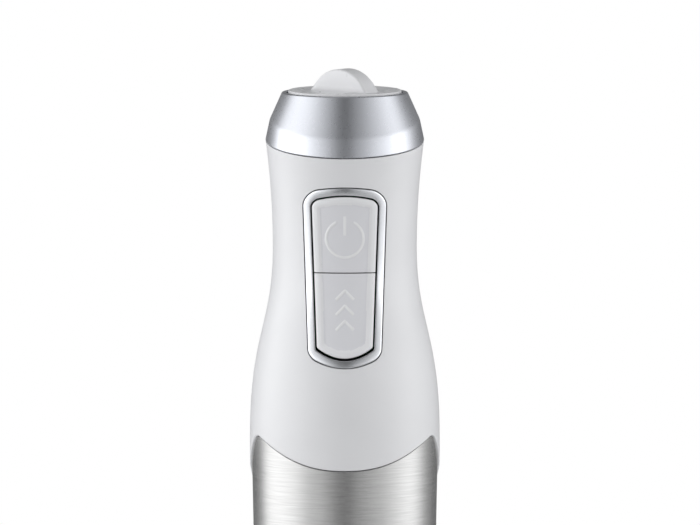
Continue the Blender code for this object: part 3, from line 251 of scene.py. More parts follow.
def line_height(azimuth):
    """Height of the line between the handle and the steel sleeve: a front lobe, two ears, a deep rear."""
    side = abs((azimuth + 180) % 360 - 180)
    across = math.sin(math.radians(min(side, 90))) / math.sin(math.radians(EAR_AZIMUTH))
    front = LOBE_Z + (EAR_Z - LOBE_Z) * across ** LOBE_POWER
    past = (side - EAR_AZIMUTH) / (180 - EAR_AZIMUTH)
    rear = EAR_Z - REAR_FALL * (1 - (1 - past) ** 2)
    k = EAR_ROUNDING
    return -k * math.log(math.exp(-front / k) + math.exp(-rear / k))


def smoothstep(x):
    x = min(max(x, 0.0), 1.0)
    return x * x * (3 - 2 * x)


def edge_drop(distance, radius):
    """How far a rounded edge has dropped, this far in from it."""
    if distance >= radius:
        return 0.0
    return radius - math.sqrt(max(radius ** 2 - (radius - max(distance, 0.0)) ** 2, 0.0))


def spot(radius, azimuth, z):
    a = math.radians(azimuth)
    return Vector((radius * math.sin(a), -radius * math.cos(a), z)) * MM


def on_handle(x, z, lift):
    """The point of the front of the handle behind (x, z), lifted off its surface."""
    radius = handle_radius(round(z, 3)) + lift
    return Vector((x, -math.sqrt(radius ** 2 - x ** 2), z)) * MM


# ---- Making pieces

def linked(name, data):
    obj = bpy.data.objects.new(name, data)
    bpy.context.scene.collection.objects.link(obj)
    return obj


def mesh_piece(name, bm, material, sharp=SHARP):
    bmesh.ops.remove_doubles(bm, verts=bm.verts, dist=0.0000005)
    bmesh.ops.dissolve_degenerate(bm, edges=bm.edges, dist=0.0000001)
    bmesh.ops.recalc_face_normals(bm, faces=bm.faces)
    mesh = bpy.data.meshes.new(name)
    bm.to_mesh(mesh)
    bm.free()
    mesh.shade_smooth()
    mesh.set_sharp_from_angle(angle=math.radians(sharp))
    if material:
        mesh.materials.append(material)
    return linked(name, mesh)


def strip(bm, a, b, closed=True):
    """Faces between two rows of the same number of points, which are loops or open lines."""
    for j in range(len(a) if closed else len(a) - 1):
        k = (j + 1) % len(a)
        bm.faces.new((a[j], b[j], b[k], a[k]))


def join_loops(bm, loops, ring=False):
    """Closed loops of the same number of points, joined in turn. A ring joins its last to its first."""
    rows = [[bm.verts.new(p) for p in loop] for loop in loops]
    for a, b in zip(rows, rows[1:] + rows[:1] if ring else rows[1:]):
        strip(bm, a, b)
    if not ring:
        bm.faces.new(rows[0])
        bm.faces.new(reversed(rows[-1]))


def lofted(name, loops, material, ring=False, sharp=SHARP):
    bm = bmesh.new()
    join_loops(bm, loops, ring)
    return mesh_piece(name, bm, material, sharp)


def revolved(name, section, azimuths, material, ring=True, sharp=SHARP):
    """A solid whose closed outline at each azimuth, as (radius, height), is section(azimuth)."""
    loops = [[spot(r, azimuth, z) for r, z in section(azimuth)] for azimuth in azimuths]
    return lofted(name, loops, material, ring, sharp)


def turned(name, points, material, steps=ROUND, ease=4, sharp=SHARP):
    outline = eased(points, ease)
    return revolved(name, lambda _: outline, [360 * i / steps for i in range(steps)], material, sharp=sharp)


def distance_to(points, x, z):
    """Shortest distance from a point to an open outline."""
    best = 1e9
    for (x0, z0), (x1, z1) in zip(points, points[1:]):
        dx, dz = x1 - x0, z1 - z0
        t = min(max(((x - x0) * dx + (z - z0) * dz) / (dx * dx + dz * dz or 1), 0), 1)
        best = min(best, (x0 + dx * t - x) ** 2 + (z0 + dz * t - z) ** 2)
    return math.sqrt(best)


def domed(name, outlines, centre, lift, place, depth, material, rings=14):
    """A key or cap: nested outlines from its edge inwards, then rings to its centre, and a flat-backed wall.

    lift(x, z) is the height of its face, and place(x, z, lift) puts a point in space.
    """
    loops = [[place(x, z, lift(x, z) - depth) for x, z in outlines[0]]]
    loops += [[place(x, z, lift(x, z)) for x, z in outline] for outline in outlines]
    for i in range(1, rings):
        k = 1 - i / rings
        loop = [(centre[0] + (x - centre[0]) * k, centre[1] + (z - centre[1]) * k) for x, z in outlines[-1]]
        loops.append([place(x, z, lift(x, z)) for x, z in loop])
    return lofted(name, loops, material)


def booled(obj, *cutters):
    """The piece with these cut out of it, as a plain mesh. The cutters are removed."""
    for cutter in cutters:
        modifier = obj.modifiers.new(cutter.name, "BOOLEAN")
        modifier.operation = "DIFFERENCE"
        modifier.object = cutter
    mesh = bpy.data.meshes.new_from_object(obj.evaluated_get(bpy.context.evaluated_depsgraph_get()))
    obj.modifiers.clear()
    obj.data = mesh
    for cutter in cutters:
        bpy.data.objects.remove(cutter)
    mesh.shade_smooth()
    mesh.set_sharp_from_angle(angle=math.radians(SHARP))
    return obj


def prism(name, outline, start, end, place):
    """A cutter with this outline, from one depth to another."""
    return lofted(name, [[place(x, z, depth) for x, z in outline] for depth in (start, end)], None)


def side_prisms(name, outline, start, end):
    """Two such cutters, outwards to the left and to the right."""
    sides = ("left", left_plane), ("right", right_plane)
    return [prism(f"{name}_{side}", outline, start, end, plane) for side, plane in sides]


def settle(obj, body, slot, *replaced):
    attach(obj, body)
    if replaced:
        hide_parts(*replaced)
    return obj


# ---- Materials

def feed(tree, socket, value):
    """Sets an input to a value, or links it to what another node gives."""
    if isinstance(value, bpy.types.NodeSocket):
        tree.links.new(value, socket)
    else:
        socket.default_value = value


def node(tree, kind, **inputs):
    """A new node of this kind. An underscore in an input's name stands for a space."""
    made = tree.nodes.new("ShaderNode" + kind)
    for name, value in inputs.items():
        feed(tree, made.inputs[name.replace("_", " ")], value)
    return made


def maths(tree, operation, a, b):
    made = node(tree, "Math")
    made.operation = operation
    for socket, value in zip(made.inputs, (a, b)):
        feed(tree, socket, value)
    return made.outputs["Value"]


class Surface:
    """A Principled material whose colour, roughness and bump come from a few textures."""

    def __init__(self, name, colour, roughness, metallic=0.0, **constants):
        self.material = bpy.data.materials.new(name)
        self.material.use_nodes = True
        self.tree = self.material.node_tree
        self.shader = self.tree.nodes["Principled BSDF"]
        self.place = node(self.tree, "TexCoord").outputs["Object"]
        self.bump = None
        self.colour = None
        for name, value in dict(constants, Roughness=roughness, Metallic=metallic).items():
            self.feed(name, value)
        self.feed("Base_Color", (*colour, 1))
        self.base = colour
        self.base_roughness = roughness

    def feed(self, name, value):
        feed(self.tree, self.shader.inputs[name.replace("_", " ")], value)

    def noise(self, scale, detail=3.0, stretch=(1, 1, 1)):
        """A noise in the piece's own space. Scale is in features per metre."""
        place = node(self.tree, "Mapping", Vector=self.place, Scale=stretch).outputs["Vector"]
        made = node(self.tree, "TexNoise", Vector=place, Scale=scale, Detail=detail, Roughness=0.55)
        return made.outputs["Fac"]

    def spun(self, scale, across=1.0, detail=3.0):
        """Noise drawn out round the Z axis: lines that follow a lathe or a brushing belt."""
        x, y, z = node(self.tree, "SeparateXYZ", Vector=self.place).outputs
        angle = maths(self.tree, "ARCTAN2", x, y)
        radius = node(self.tree, "VectorMath")
        radius.operation = "LENGTH"
        feed(self.tree, radius.inputs[0], node(self.tree, "CombineXYZ", X=x, Y=y).outputs["Vector"])
        parts = (angle, across), (z, scale), (radius.outputs["Value"], scale)
        x, y, z = [maths(self.tree, "MULTIPLY", value, factor) for value, factor in parts]
        joined = node(self.tree, "CombineXYZ", X=x, Y=y, Z=z).outputs["Vector"]
        return node(self.tree, "TexNoise", Vector=joined, Scale=1.0, Detail=detail).outputs["Fac"]

    def ramp(self, factor, start, end, least=0.3, most=0.7):
        """A factor between two positions, spread from one value or colour to another."""
        made = node(self.tree, "MapRange", Value=factor, From_Min=least, From_Max=most,
                    To_Min=start, To_Max=end)
        return made.outputs["Result"]

    def tint(self, factor, other, most=1.0):
        """The colour moves towards another where the factor is high."""
        mix = node(self.tree, "Mix")
        mix.data_type = "RGBA"
        feed(self.tree, mix.inputs["A"], self.colour or (*self.base, 1))
        feed(self.tree, mix.inputs["B"], (*other, 1))
        feed(self.tree, mix.inputs["Factor"], self.ramp(factor, 0.0, most))
        self.colour = mix.outputs["Result"]
        self.feed("Base_Color", self.colour)

    def rough(self, factor, spread):
        start = self.base_roughness - spread / 2
        self.feed("Roughness", self.ramp(factor, start, start + spread))

    def bumps(self, factor, height, strength=1.0):
        """Relief whose full height is in metres. It adds to any relief there is."""
        under = {"Normal": self.bump} if self.bump else {}
        made = node(self.tree, "Bump", Height=factor, Strength=strength, Distance=height, **under)
        self.bump = made.outputs["Normal"]
        self.feed("Normal", self.bump)


def white_plastic(name="white_shell", colour=(0.845, 0.845, 0.86)):
    made = Surface(name, colour, 0.34, Coat_Weight=0.15, Coat_Roughness=0.12)
    made.tint(made.noise(45, 2), tuple(c * 0.975 for c in colour))
    made.rough(made.noise(160, 4), 0.08)
    made.bumps(made.noise(2600, 2), 0.000012)
    made.bumps(made.noise(60, 2), 0.00003, 0.5)
    return made.material


def key_plastic():
    made = Surface("key_white", (0.88, 0.88, 0.895), 0.36)
    made.tint(made.noise(60, 2), (0.865, 0.865, 0.88))
    made.rough(made.noise(300, 3), 0.08)
    made.bumps(made.noise(4200, 2), 0.00001)
    return made.material


def pad_plastic():
    made = Surface("key_pad_grey", (0.80, 0.80, 0.83), 0.46)
    made.tint(made.noise(70, 3), (0.785, 0.785, 0.815))
    made.rough(made.noise(500, 3), 0.1)
    made.bumps(made.noise(5200, 2), 0.000016)
    return made.material


def dial_plastic():
    made = Surface("dial_white", (0.80, 0.80, 0.815), 0.30, Subsurface_Weight=0.15, Subsurface_Scale=0.002,
                   Subsurface_Radius=(1, 1, 1), Coat_Weight=0.2, Coat_Roughness=0.1)
    made.tint(made.noise(80, 2), (0.78, 0.78, 0.795))
    made.rough(made.noise(220, 3), 0.07)
    made.bumps(made.noise(3000, 2), 0.000008)
    return made.material


def satin_aluminium():
    made = Surface("satin_aluminium_blasted", (0.59, 0.602, 0.64), 0.29, 1.0)
    made.tint(made.noise(2600, 2), (0.57, 0.582, 0.62), 0.8)
    made.rough(made.noise(900, 4), 0.05)
    made.bumps(made.noise(3600, 2), 0.0000006)
    return made.material


def brushed_steel(name="brushed_steel_round"):
    """Steel brushed round its axis, so its highlights spread up and down."""
    made = Surface(name, (0.64, 0.636, 0.63), 0.235, 1.0, Anisotropic=0.5)
    tangent = node(made.tree, "Tangent")
    tangent.direction_type = "RADIAL"
    tangent.axis = "Z"
    made.feed("Tangent", tangent.outputs["Tangent"])
    made.tint(made.spun(2600, 2.6), (0.55, 0.546, 0.54), 0.9)
    made.rough(made.spun(3000, 3.0, 4), 0.05)
    made.bumps(made.spun(3400, 3.0, 3), 0.0000018)
    return made.material


def satin_chrome():
    made = Surface("satin_chrome", (0.74, 0.75, 0.775), 0.22, 1.0)
    made.tint(made.noise(120, 3), (0.70, 0.71, 0.735))
    made.rough(made.noise(800, 3), 0.06)
    made.bumps(made.noise(3000, 2), 0.000005)
    return made.material


def dark_plastic(name, colour, roughness=0.5):
    made = Surface(name, colour, roughness)
    made.tint(made.noise(150, 3), tuple(c * 1.35 + 0.004 for c in colour))
    made.rough(made.noise(700, 3), 0.16)
    made.bumps(made.noise(3600, 3), 0.00002)
    return made.material


def ground_steel():
    made = Surface("ground_steel", (0.58, 0.585, 0.59), 0.26, 1.0)
    made.tint(made.spun(6000, 5.0), (0.47, 0.47, 0.475), 0.8)
    made.rough(made.spun(4200, 5.0), 0.14)
    made.bumps(made.spun(8000, 5.0, 2), 0.000006)
    return made.material


def blade_steel():
    made = Surface("blade_steel", (0.64, 0.64, 0.65), 0.2, 1.0)
    made.tint(made.noise(900, 4, (1, 6, 1)), (0.52, 0.52, 0.53), 0.8)
    made.rough(made.noise(1600, 4, (1, 8, 1)), 0.14)
    made.bumps(made.noise(3200, 3, (1, 10, 1)), 0.000008)
    return made.material


def laminated_steel():
    made = Surface("laminated_steel", (0.27, 0.27, 0.285), 0.45, 1.0)
    made.tint(made.noise(260, 4), (0.19, 0.17, 0.16))
    made.bumps(made.noise(2200, 1, (0.02, 0.02, 1)), 0.00006)
    return made.material


def wound_copper():
    made = Surface("wound_copper", (0.66, 0.27, 0.12), 0.32, 1.0)
    made.tint(made.noise(340, 4), (0.45, 0.16, 0.07))
    made.bumps(made.spun(2600, 1.0, 1), 0.00012)
    return made.material


def plain_bronze():
    made = Surface("sintered_bronze", (0.50, 0.34, 0.17), 0.45, 1.0)
    made.tint(made.noise(700, 4), (0.38, 0.24, 0.12))
    made.bumps(made.noise(5200, 3), 0.00002)
    return made.material


def board_laminate():
    made = Surface("board_laminate", (0.03, 0.18, 0.07), 0.35)
    made.tint(made.noise(420, 2, (4, 1, 1)), (0.05, 0.27, 0.11))
    made.bumps(made.noise(900, 2), 0.00003)
    return made.material


def hard_rubber():
    made = Surface("hard_rubber", (0.028, 0.028, 0.028), 0.75)
    made.tint(made.noise(300, 4), (0.05, 0.05, 0.05))
    made.bumps(made.noise(2600, 4), 0.00004)
    return made.material


WHITE = white_plastic()
SYMBOL = white_plastic("symbol_white", (0.91, 0.91, 0.92))
KEY = key_plastic()
PAD = pad_plastic()
DIAL = dial_plastic()
ALUMINIUM = satin_aluminium()
STEEL = brushed_steel()
CHROME = satin_chrome()
# real black plastic for the frame's black pieces, and also painted shade on the walls down in the gaps round
# the keys
BLACK_AND_GAP_SHADE = dark_plastic("black_moulding_and_gap_shade", (0.018, 0.018, 0.018))
GREY = dark_plastic("grey_moulding", (0.22, 0.22, 0.23))
GROUND = ground_steel()
BLADE = blade_steel()


# ---- Handle

def housing_section(azimuth, seam_distance):
    """Closed outline of the white wall at an azimuth: it is rounded at its line, its top and its seam."""
    bottom = line_height(azimuth) + SEAM / 2
    top = COLLAR_LOW - COLLAR_DIP * math.cos(math.radians(azimuth)) - SEAM
    near = [0.0, 0.03, 0.08, 0.16, 0.28, 0.45, 0.7]
    rows = 84
    inner_edge, span = near[-1], top - bottom
    steps = near + [inner_edge + (span - 2 * inner_edge) * i / rows for i in range(1, rows)]
    steps += [span - d for d in reversed(near)]
    seam = edge_drop(seam_distance, 0.35)
    outer = []
    for up in reversed(steps):
        z = bottom + up
        fall = max(edge_drop(up, 0.55), edge_drop(span - up, 0.3), seam)
        outer.append((handle_radius(round(z, 3)) - fall, z))
    inner = []
    for i in range(13):
        z = bottom + span * i / 12
        inner.append((handle_radius(round(z, 3)) - HANDLE_WALL, z))
    return outer + inner


def housing(name, middle, body_slot):
    """Half of the handle, round the azimuth of its middle."""
    reach = 90 - math.degrees(math.asin(SEAM / 2 / HIP_R))
    close = [0.0, 0.08, 0.2, 0.4, 0.8]
    span = 2 * reach
    count = 104
    azimuths = close + [close[-1] + (span - 2 * close[-1]) * i / count for i in range(1, count)]
    azimuths += [span - a for a in reversed(close)]
    loops = []
    for a in azimuths:
        azimuth = middle - reach + a
        distance = math.radians(min(a, span - a)) * HIP_R
        loops.append([spot(r, azimuth, z) for r, z in housing_section(azimuth, distance)])
    return lofted(name, loops, WHITE)


def front_plane(x, z, depth):
    return Vector((x, -depth, z)) * MM


def rear_plane(x, z, depth):
    return Vector((-x, depth, z)) * MM


def handle():
    front = housing("handle_front", 0, "white_plastic")
    hole = mirrored(resampled(half_panel(-BEZEL_GROOVE), 121))
    booled(front, prism("panel_opening", hole, CUT_FROM, CUT_TO, front_plane))
    settle(front, "motor_unit", "white_plastic", "front_housing")
    rear = housing("handle_rear", 180, "white_plastic")
    around = arc((0, GLAND_Z), GLAND_HOLE_R, 90, 450, 48)[:-1]
    booled(rear, prism("gland_hole", around, CUT_FROM, CUT_TO, rear_plane))
    settle(rear, "motor_unit", "white_plastic", "rear_housing")


def sleeve():
    """Steel sleeve under the handle, cut along its line, with a window for each release cap."""
    base, rows, chamfer = SLEEVE_LOW_Z + SEAM, 40, 0.15

    def section(azimuth):
        top = line_height(azimuth) - SEAM / 2
        rim = [(sleeve_radius(top) - chamfer, top), (sleeve_radius(top), top - chamfer)]
        heights = [top + (base - top) * i / rows for i in range(1, rows + 1)]
        inner = [(sleeve_radius(z) - SLEEVE_WALL, z) for z in (base, top)]
        return rim + [(sleeve_radius(z), z) for z in heights] + inner

    steel = revolved("sleeve_steel", section, [360 * i / 240 for i in range(240)], STEEL)
    window = rounded_box(RELEASE_HALF_WIDTH + RELEASE_GAP, RELEASE_HALF_HEIGHT + RELEASE_GAP,
                         RELEASE_CORNER + 0.3, (0.0, RELEASE_Z))
    booled(steel, *side_prisms("window", window, CUT_FROM, CUT_TO))
    settle(steel, "motor_unit", "brushed_steel", "steel_sleeve")


def left_plane(y, z, depth):
    return Vector((-depth, -y, z)) * MM


def right_plane(y, z, depth):
    return Vector((depth, y, z)) * MM


def collar():
    """Silver collar: a cone over a steeper band. Its kink and lower edge are tipped down at the front."""
    def section(azimuth):
        dip = COLLAR_DIP * math.cos(math.radians(azimuth))
        lower, kink = COLLAR_LOW - dip, COLLAR_KINK - dip
        radius = handle_radius(round(lower, 3)) + 0.05
        return eased([
            (LIP_HOLE_R, COLLAR_TOP, 0.25), (LIP_R, COLLAR_TOP, 0.45), (KINK_R, kink, 0.9),
            (radius, lower, 0.3), (radius - COLLAR_WALL, lower), (KINK_R - COLLAR_WALL, kink - 0.6),
            (LIP_R - COLLAR_WALL, COLLAR_TOP - 4.2), (LIP_HOLE_R, COLLAR_TOP - 3.6)], 5)

    made = revolved("collar_ring", section, [360 * i / ROUND for i in range(ROUND)], ALUMINIUM, sharp=50)
    settle(made, "motor_unit", "satin_aluminium", "top_collar")


def dial_height(x, y):
    """Height of the dial's top where x runs along its fin and y across it: a scooped disc under the fin."""
    radius = math.hypot(x, y)
    disc = DISH_Z + (DIAL_RIM_Z - DISH_Z) * smoothstep((radius - DISH_R) / DISH_EASE)
    if abs(x) >= FIN_R:
        return disc
    crest = DIAL_TOP - FIN_R + math.sqrt(FIN_R ** 2 - x ** 2)
    tall = crest - disc
    if tall <= 0:
        return disc
    side, crown = abs(y), FIN_CROWN
    flank, wall = FIN_HALF - crown, FIN_DRAFT
    root = min(FIN_ROOT, tall * 0.5)
    if side <= flank:
        above = tall
    elif side <= FIN_HALF:
        above = tall - edge_drop(FIN_HALF - side, crown) * min(1, (tall - root) / crown)
    elif side <= FIN_HALF + wall:
        top = tall - crown * min(1, (tall - root) / crown)
        above = top + (root - top) * (side - FIN_HALF) / wall
    else:
        above = edge_drop(side - FIN_HALF - wall, root) if side < FIN_HALF + wall + root else 0.0
    k = FIN_END_EASE
    end_ease = k * math.log(1 + math.exp(-tall / k))
    return disc + above + end_ease


def dial():
    """Lines along the fin, close together where its walls rise, inside rings that make the rim."""
    flank, wall, foot = FIN_HALF - FIN_CROWN, FIN_HALF + FIN_DRAFT, FIN_HALF + FIN_DRAFT + FIN_ROOT
    across = [flank * i / 4 for i in range(5)]
    across += [flank + FIN_CROWN * math.sin(math.pi / 2 * i / 10) for i in range(1, 11)]
    across += [FIN_HALF + FIN_DRAFT * i / 4 for i in range(1, 5)]
    across += [wall + FIN_ROOT * (1 - math.cos(math.pi / 2 * i / 12)) for i in range(1, 13)]
    first, last = math.asin(foot / DIAL_CORE), math.radians(88.5)
    across += [DIAL_CORE * math.sin(first + (last - first) * i / 28) for i in range(1, 29)]
    columns = 150
    turn = Matrix.Rotation(math.radians(FIN_TURN), 3, "Z")
    bm = bmesh.new()
    rows = []
    for y in [-y for y in reversed(across[1:])] + across:
        half = math.sqrt(DIAL_CORE ** 2 - y ** 2)
        row = []
        for i in range(columns + 1):
            x = -half * math.cos(math.pi * i / columns) * 0.35 + half * (2 * i / columns - 1) * 0.65
            row.append(bm.verts.new(turn @ Vector((x, y, dial_height(x, y))) * MM))
        rows.append(row)
    for a, b in zip(rows, rows[1:]):
        strip(bm, a, b, closed=False)
    previous = rows[0] + [row[-1] for row in rows[1:-1]] + rows[-1][::-1] + [row[0] for row in rows[-2:0:-1]]
    ways = [Vector((v.co.x, v.co.y, 0)).normalized() for v in previous]
    insets = (1.0, DIAL_EDGE, 0.38, 0.25, 0.13, 0.04, 0.0)
    rings = [(DIAL_R - inset, DIAL_RIM_Z - edge_drop(inset, DIAL_EDGE)) for inset in insets]
    skirt = DIAL_RIM_Z - DIAL_SKIRT
    for radius, z in rings + [(DIAL_R, skirt), (DIAL_R - 0.2, skirt - 0.1)]:
        ring = [bm.verts.new((way * radius + Vector((0, 0, z))) * MM) for way in ways]
        strip(bm, previous, ring)
        previous = ring
    bm.faces.new(previous)
    disc = mesh_piece("dial_cap", bm, DIAL, sharp=60)
    settle(disc, "dial", "dial_plastic", "speed_dial")


# ---- Control panel

def bezel():
    """Frame round the keys, with a softly crowned face and rolled edges."""
    section = [(0.0, -BEZEL_DEPTH), (0.0, 0.12), (0.03, 0.24), (0.09, 0.34), (0.18, 0.41), (0.32, 0.455),
               (0.6, 0.485), (BEZEL_WIDTH / 2, 0.5)]
    section += [(BEZEL_WIDTH - inset, lift) for inset, lift in reversed(section[:-1])]
    loops = []
    for inset, lift in section:
        outline = mirrored(resampled(half_panel(inset), 161))
        loops.append([on_handle(x, z, lift) for x, z in outline])
    frame_ring = lofted("bezel_frame", loops, CHROME, ring=True)
    # painted shade: the frame's walls down in the gaps take the black material
    shade_gap_walls(frame_ring)
    settle(frame_ring, "motor_unit", "chrome", "button_bezel")


def shade_gap_walls(obj):
    """The walls down in the gaps between the keys and their frame are painted black, as painted shade in the
    gaps.
    """
    obj.data.materials.append(BLACK_AND_GAP_SHADE)
    # painted shade: faces turned sideways or away, down in the gaps, become black
    for face in obj.data.polygons:
        if face.normal.y > -0.12:
            face.material_index = len(obj.data.materials) - 1


def key_sides(bottom, top):
    """A key's outline without its edge along the split between the keys, as one open line."""
    edge = key_half(0.0, bottom, top)
    side = edge[1:] if top is not None else edge[:-1]
    other = [(-x, z) for x, z in reversed(side)]
    return side + other if bottom is None else other + side


def key_half(inset, bottom, top):
    return half_panel(BEZEL_WIDTH + KEY_GAP + inset, bottom, top, KEY_LOW_GAP - KEY_GAP)


def key_shape(bottom, top):
    """Nested outlines of a key, and the height of its face: a raised border round a lowered pad."""
    sides = key_sides(bottom, top)

    def split(z):
        return z - bottom if top is None else top - z

    def lift(x, z):
        inwards = distance_to(sides, x, z)
        hump = KEY_HUMP * math.sin(math.pi * min(inwards / PAD_MARGIN, 1))
        recess = PAD_RECESS * smoothstep((inwards - PAD_EDGE) / PAD_RUN)
        drop = max(edge_drop(inwards, KEY_EDGE), edge_drop(split(z), KEY_SPLIT_EDGE))
        return KEY_PROUD - KEY_HUMP + hump - recess - drop

    outlines = []
    for inset in (0, 0.02, 0.06, 0.13, 0.24, 0.4, 0.62, 0.9, 1.25, 1.6, 1.9, 2.2, 2.5, 2.8, 3.15, 3.5):
        low_cut = bottom + inset if bottom is not None else None
        top_cut = top - inset if top is not None else None
        outlines.append(mirrored(resampled(key_half(inset, low_cut, top_cut), 101)))
    return outlines, lift


def stroke(paths, width, height, lift):
    """Raised lines that follow the key's face. Each path is a list of (x, z)."""
    bm = bmesh.new()
    across = [(-0.5, -0.06), (-0.46, 0.45), (-0.3, 0.86), (0.0, 1.0), (0.3, 0.86), (0.46, 0.45), (0.5, -0.06)]
    for path in paths:
        closed = path[0] == path[-1]
        points = path[:-1] if closed else path
        loops = []
        for i, (x, z) in enumerate(points):
            before = points[i - 1] if closed or i else points[0]
            after = points[(i + 1) % len(points)] if closed or i + 1 < len(points) else points[-1]
            way = Vector((after[0] - before[0], after[1] - before[1])).normalized()
            loop = []
            for side, up in across:
                px, pz = x - way.y * side * width, z + way.x * side * width
                loop.append(on_handle(px, pz, lift(px, pz) + up * height))
            loops.append(loop)
        join_loops(bm, loops, closed)
    return bm


def straight(start, end, count=14):
    return [(start[0] + (end[0] - start[0]) * i / count, start[1] + (end[1] - start[1]) * i / count)
            for i in range(count + 1)]


def power_mark():
    """A broken ring with an upright line in its gap."""
    ring = arc((0, POWER_Z), POWER_R, 118, 422, 72)
    return [ring, straight((0.0, POWER_Z + 1.2), (0.0, POWER_Z + POWER_R + 1.4))]


def chevrons():
    """Three chevrons, one above another."""
    made = []
    for i in range(3):
        peak = CHEVRON_TOP - CHEVRON_PITCH * i
        ends = [(side * CHEVRON_HALF, peak - CHEVRON_HALF) for side in (-1, 1)]
        made.append(straight(ends[0], (0.0, peak)) + straight((0.0, peak), ends[1])[1:])
    return made


def keys():
    """The two keys, each with its symbol: they meet along a straight split."""
    half_gap = KEY_SPLIT_GAP / 2
    for name, bottom, top, symbol_paths in (("speed", KEY_SPLIT + half_gap, None, power_mark()),
                                            ("turbo", None, KEY_SPLIT - half_gap, chevrons())):
        outlines, lift = key_shape(bottom, top)
        zs = [z for _, z in outlines[-1]]
        centre = (0.0, (min(zs) + max(zs)) / 2)
        key = domed(f"key_{name}", outlines, centre, lift, on_handle, KEY_DEPTH, KEY)
        paint_pad(key, key_sides(bottom, top))
        # painted shade: the key's walls down in the gaps take the black material
        shade_gap_walls(key)
        settle(key, f"{name}_key", "button_plastic", f"{name}_button", f"{name}_button_pad")
        lines = stroke(symbol_paths, STROKE_WIDTH, STROKE_HEIGHT, lift)
        settle(mesh_piece(f"key_{name}_symbol", lines, SYMBOL), f"{name}_key", "pad_plastic")


def paint_pad(key, sides):
    """The faces of the key's pad take the grey material."""
    key.data.materials.append(PAD)
    for face in key.data.polygons:
        x, _, z = face.center / MM
        if face.normal.y < -0.3 and distance_to(sides, x, z) > PAD_MARGIN - 0.1:
            face.material_index = 1


# ---- Lower end of the motor unit

def release_keys():
    """Rounded caps with five grip ridges, on both sides of the sleeve, with flat backs."""
    surface = sleeve_radius(RELEASE_Z) + RELEASE_PROUD
    back = surface - RELEASE_THICKNESS
    half_y, half_z, corner = RELEASE_HALF_WIDTH, RELEASE_HALF_HEIGHT, RELEASE_CORNER
    ridge_pitch, ridge_height, edge = 2.6, 0.32, 0.6
    border, border_run, hollow = 1.3, 0.8, 0.25

    def lift(y, z):
        away = min(half_y - abs(y), half_z - abs(z - RELEASE_Z))
        within = smoothstep((away - border) / border_run)
        ridge = 0.5 + 0.5 * math.cos(2 * math.pi * y / ridge_pitch)
        return -edge_drop(away, edge) + ridge_height * within * ridge - hollow * within

    outlines = [rounded_box(half_y - d, half_z - d, max(corner - d, 0.6), (0.0, RELEASE_Z)) for d in
                (0, 0.02, 0.07, 0.15, 0.27, 0.43, 0.6, 0.85, 1.15, 1.4, 1.7, 2.0)]
    for name, side in (("left", -1), ("right", 1)):
        def place(y, z, height, side=side):
            out = max(math.sqrt((surface + height) ** 2 - y ** 2), back)
            return Vector((side * out, side * y, z)) * MM

        cap = domed(f"release_cap_{name}", outlines, (0.0, RELEASE_Z), lift, place, RELEASE_DEPTH, WHITE,
                    rings=26)
        settle(cap, f"release_{name}", "white_plastic", f"release_button_{name}")


def latch_springs():
    """Small springs behind the release caps."""
    near, far = low("latch_spring_right", "X"), high("latch_spring_right", "X")
    coil_r, wire, turns, steps, around = 1.0, 0.22, 3, 24, 10
    first, last = near + wire, far - wire
    section = arc((0, 0), wire, 0, 360, around)[:-1]
    for name, side in (("left", -1), ("right", 1)):
        along = Vector((side, 0, 0))
        loops = []
        for i in range(turns * steps + 1):
            angle = 2 * math.pi * i / steps
            outwards = Vector((0, math.cos(angle), math.sin(angle)))
            middle = along * (first + (last - first) * i / (turns * steps)) + outwards * coil_r
            middle.z += RELEASE_Z
            loops.append([(middle + outwards * a + along * b) * MM for a, b in section])
        spring = lofted(f"latch_coil_{name}", loops, GROUND)
        settle(spring, "motor_unit", "plain_steel", f"latch_spring_{name}")
        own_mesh(spring)


def socket_ring():
    """Foot of the motor unit: the white trim ring and the socket inside it."""
    trim, bore, web_bore, wall = 31.0, 19.8, 6.5, 1.8
    top, web_low, web_top = SLEEVE_LOW_Z, JOINT_Z + 24.0, JOINT_Z + 26.0
    groove, groove_r = JOINT_Z + 2.1, trim - 0.4
    ring = turned("socket_trim", [
        (bore + wall, web_top), (bore + wall, top), (trim, top, 0.5), (trim, groove + 0.5, 0.25),
        (groove_r, groove + 0.2, 0.1), (groove_r, groove - 0.2, 0.1), (trim, groove - 0.5, 0.2),
        (trim, JOINT_Z, 0.7), (bore, JOINT_Z, 0.8), (bore, web_low, 0.6), (web_bore, web_low, 0.3),
        (web_bore, web_top)], WHITE)
    cutters = []
    slot_half, slot_offset, slot_start, slot_end = 1.35, 2.5, bore - 2.8, bore + 3.2
    for side in (-1, 1):
        slot = rounded_box(KEYWAY_HALF, slot_half, 0.3, (0.0, RELEASE_Z - side * slot_offset), 32)
        cutters.append(prism(f"tooth_slot_{side}", slot, side * slot_start, side * slot_end, right_plane))
    booled(ring, *cutters)
    settle(ring, "motor_unit", "white_plastic", "coupling_socket")


def gland():
    """Bush for the mains lead, made about Z and laid along Y: a grooved body, a flange and a neck."""
    body, groove_r, rim, neck, bore = 5.8, 5.3, 7.0, 5.0, 3.6
    start, end = handle_radius(GLAND_Z) - 3.8, high("cord_gland", "Y")
    flange = handle_radius(GLAND_Z + rim) + 0.2
    groove = flange + 2.7
    points = [(body, end, 0.7), (body, groove + 0.5, 0.2), (groove_r, groove + 0.3, 0.1),
              (groove_r, groove - 0.3, 0.1), (body, groove - 0.5, 0.2), (body, flange + 1.2, 0.4),
              (rim, flange + 1.0, 0.4), (rim, flange, 0.2), (neck, flange), (neck, start), (bore, start),
              (bore, end, 0.6)]
    made = turned("gland_bush", points, WHITE, SMALL)
    made.matrix_world = Matrix.Translation((0, 0, GLAND_Z * MM)) @ Matrix.Rotation(math.radians(-90), 4, "X")
    settle(made, "motor_unit", "white_plastic", "cord_gland")


# ---- Blending leg

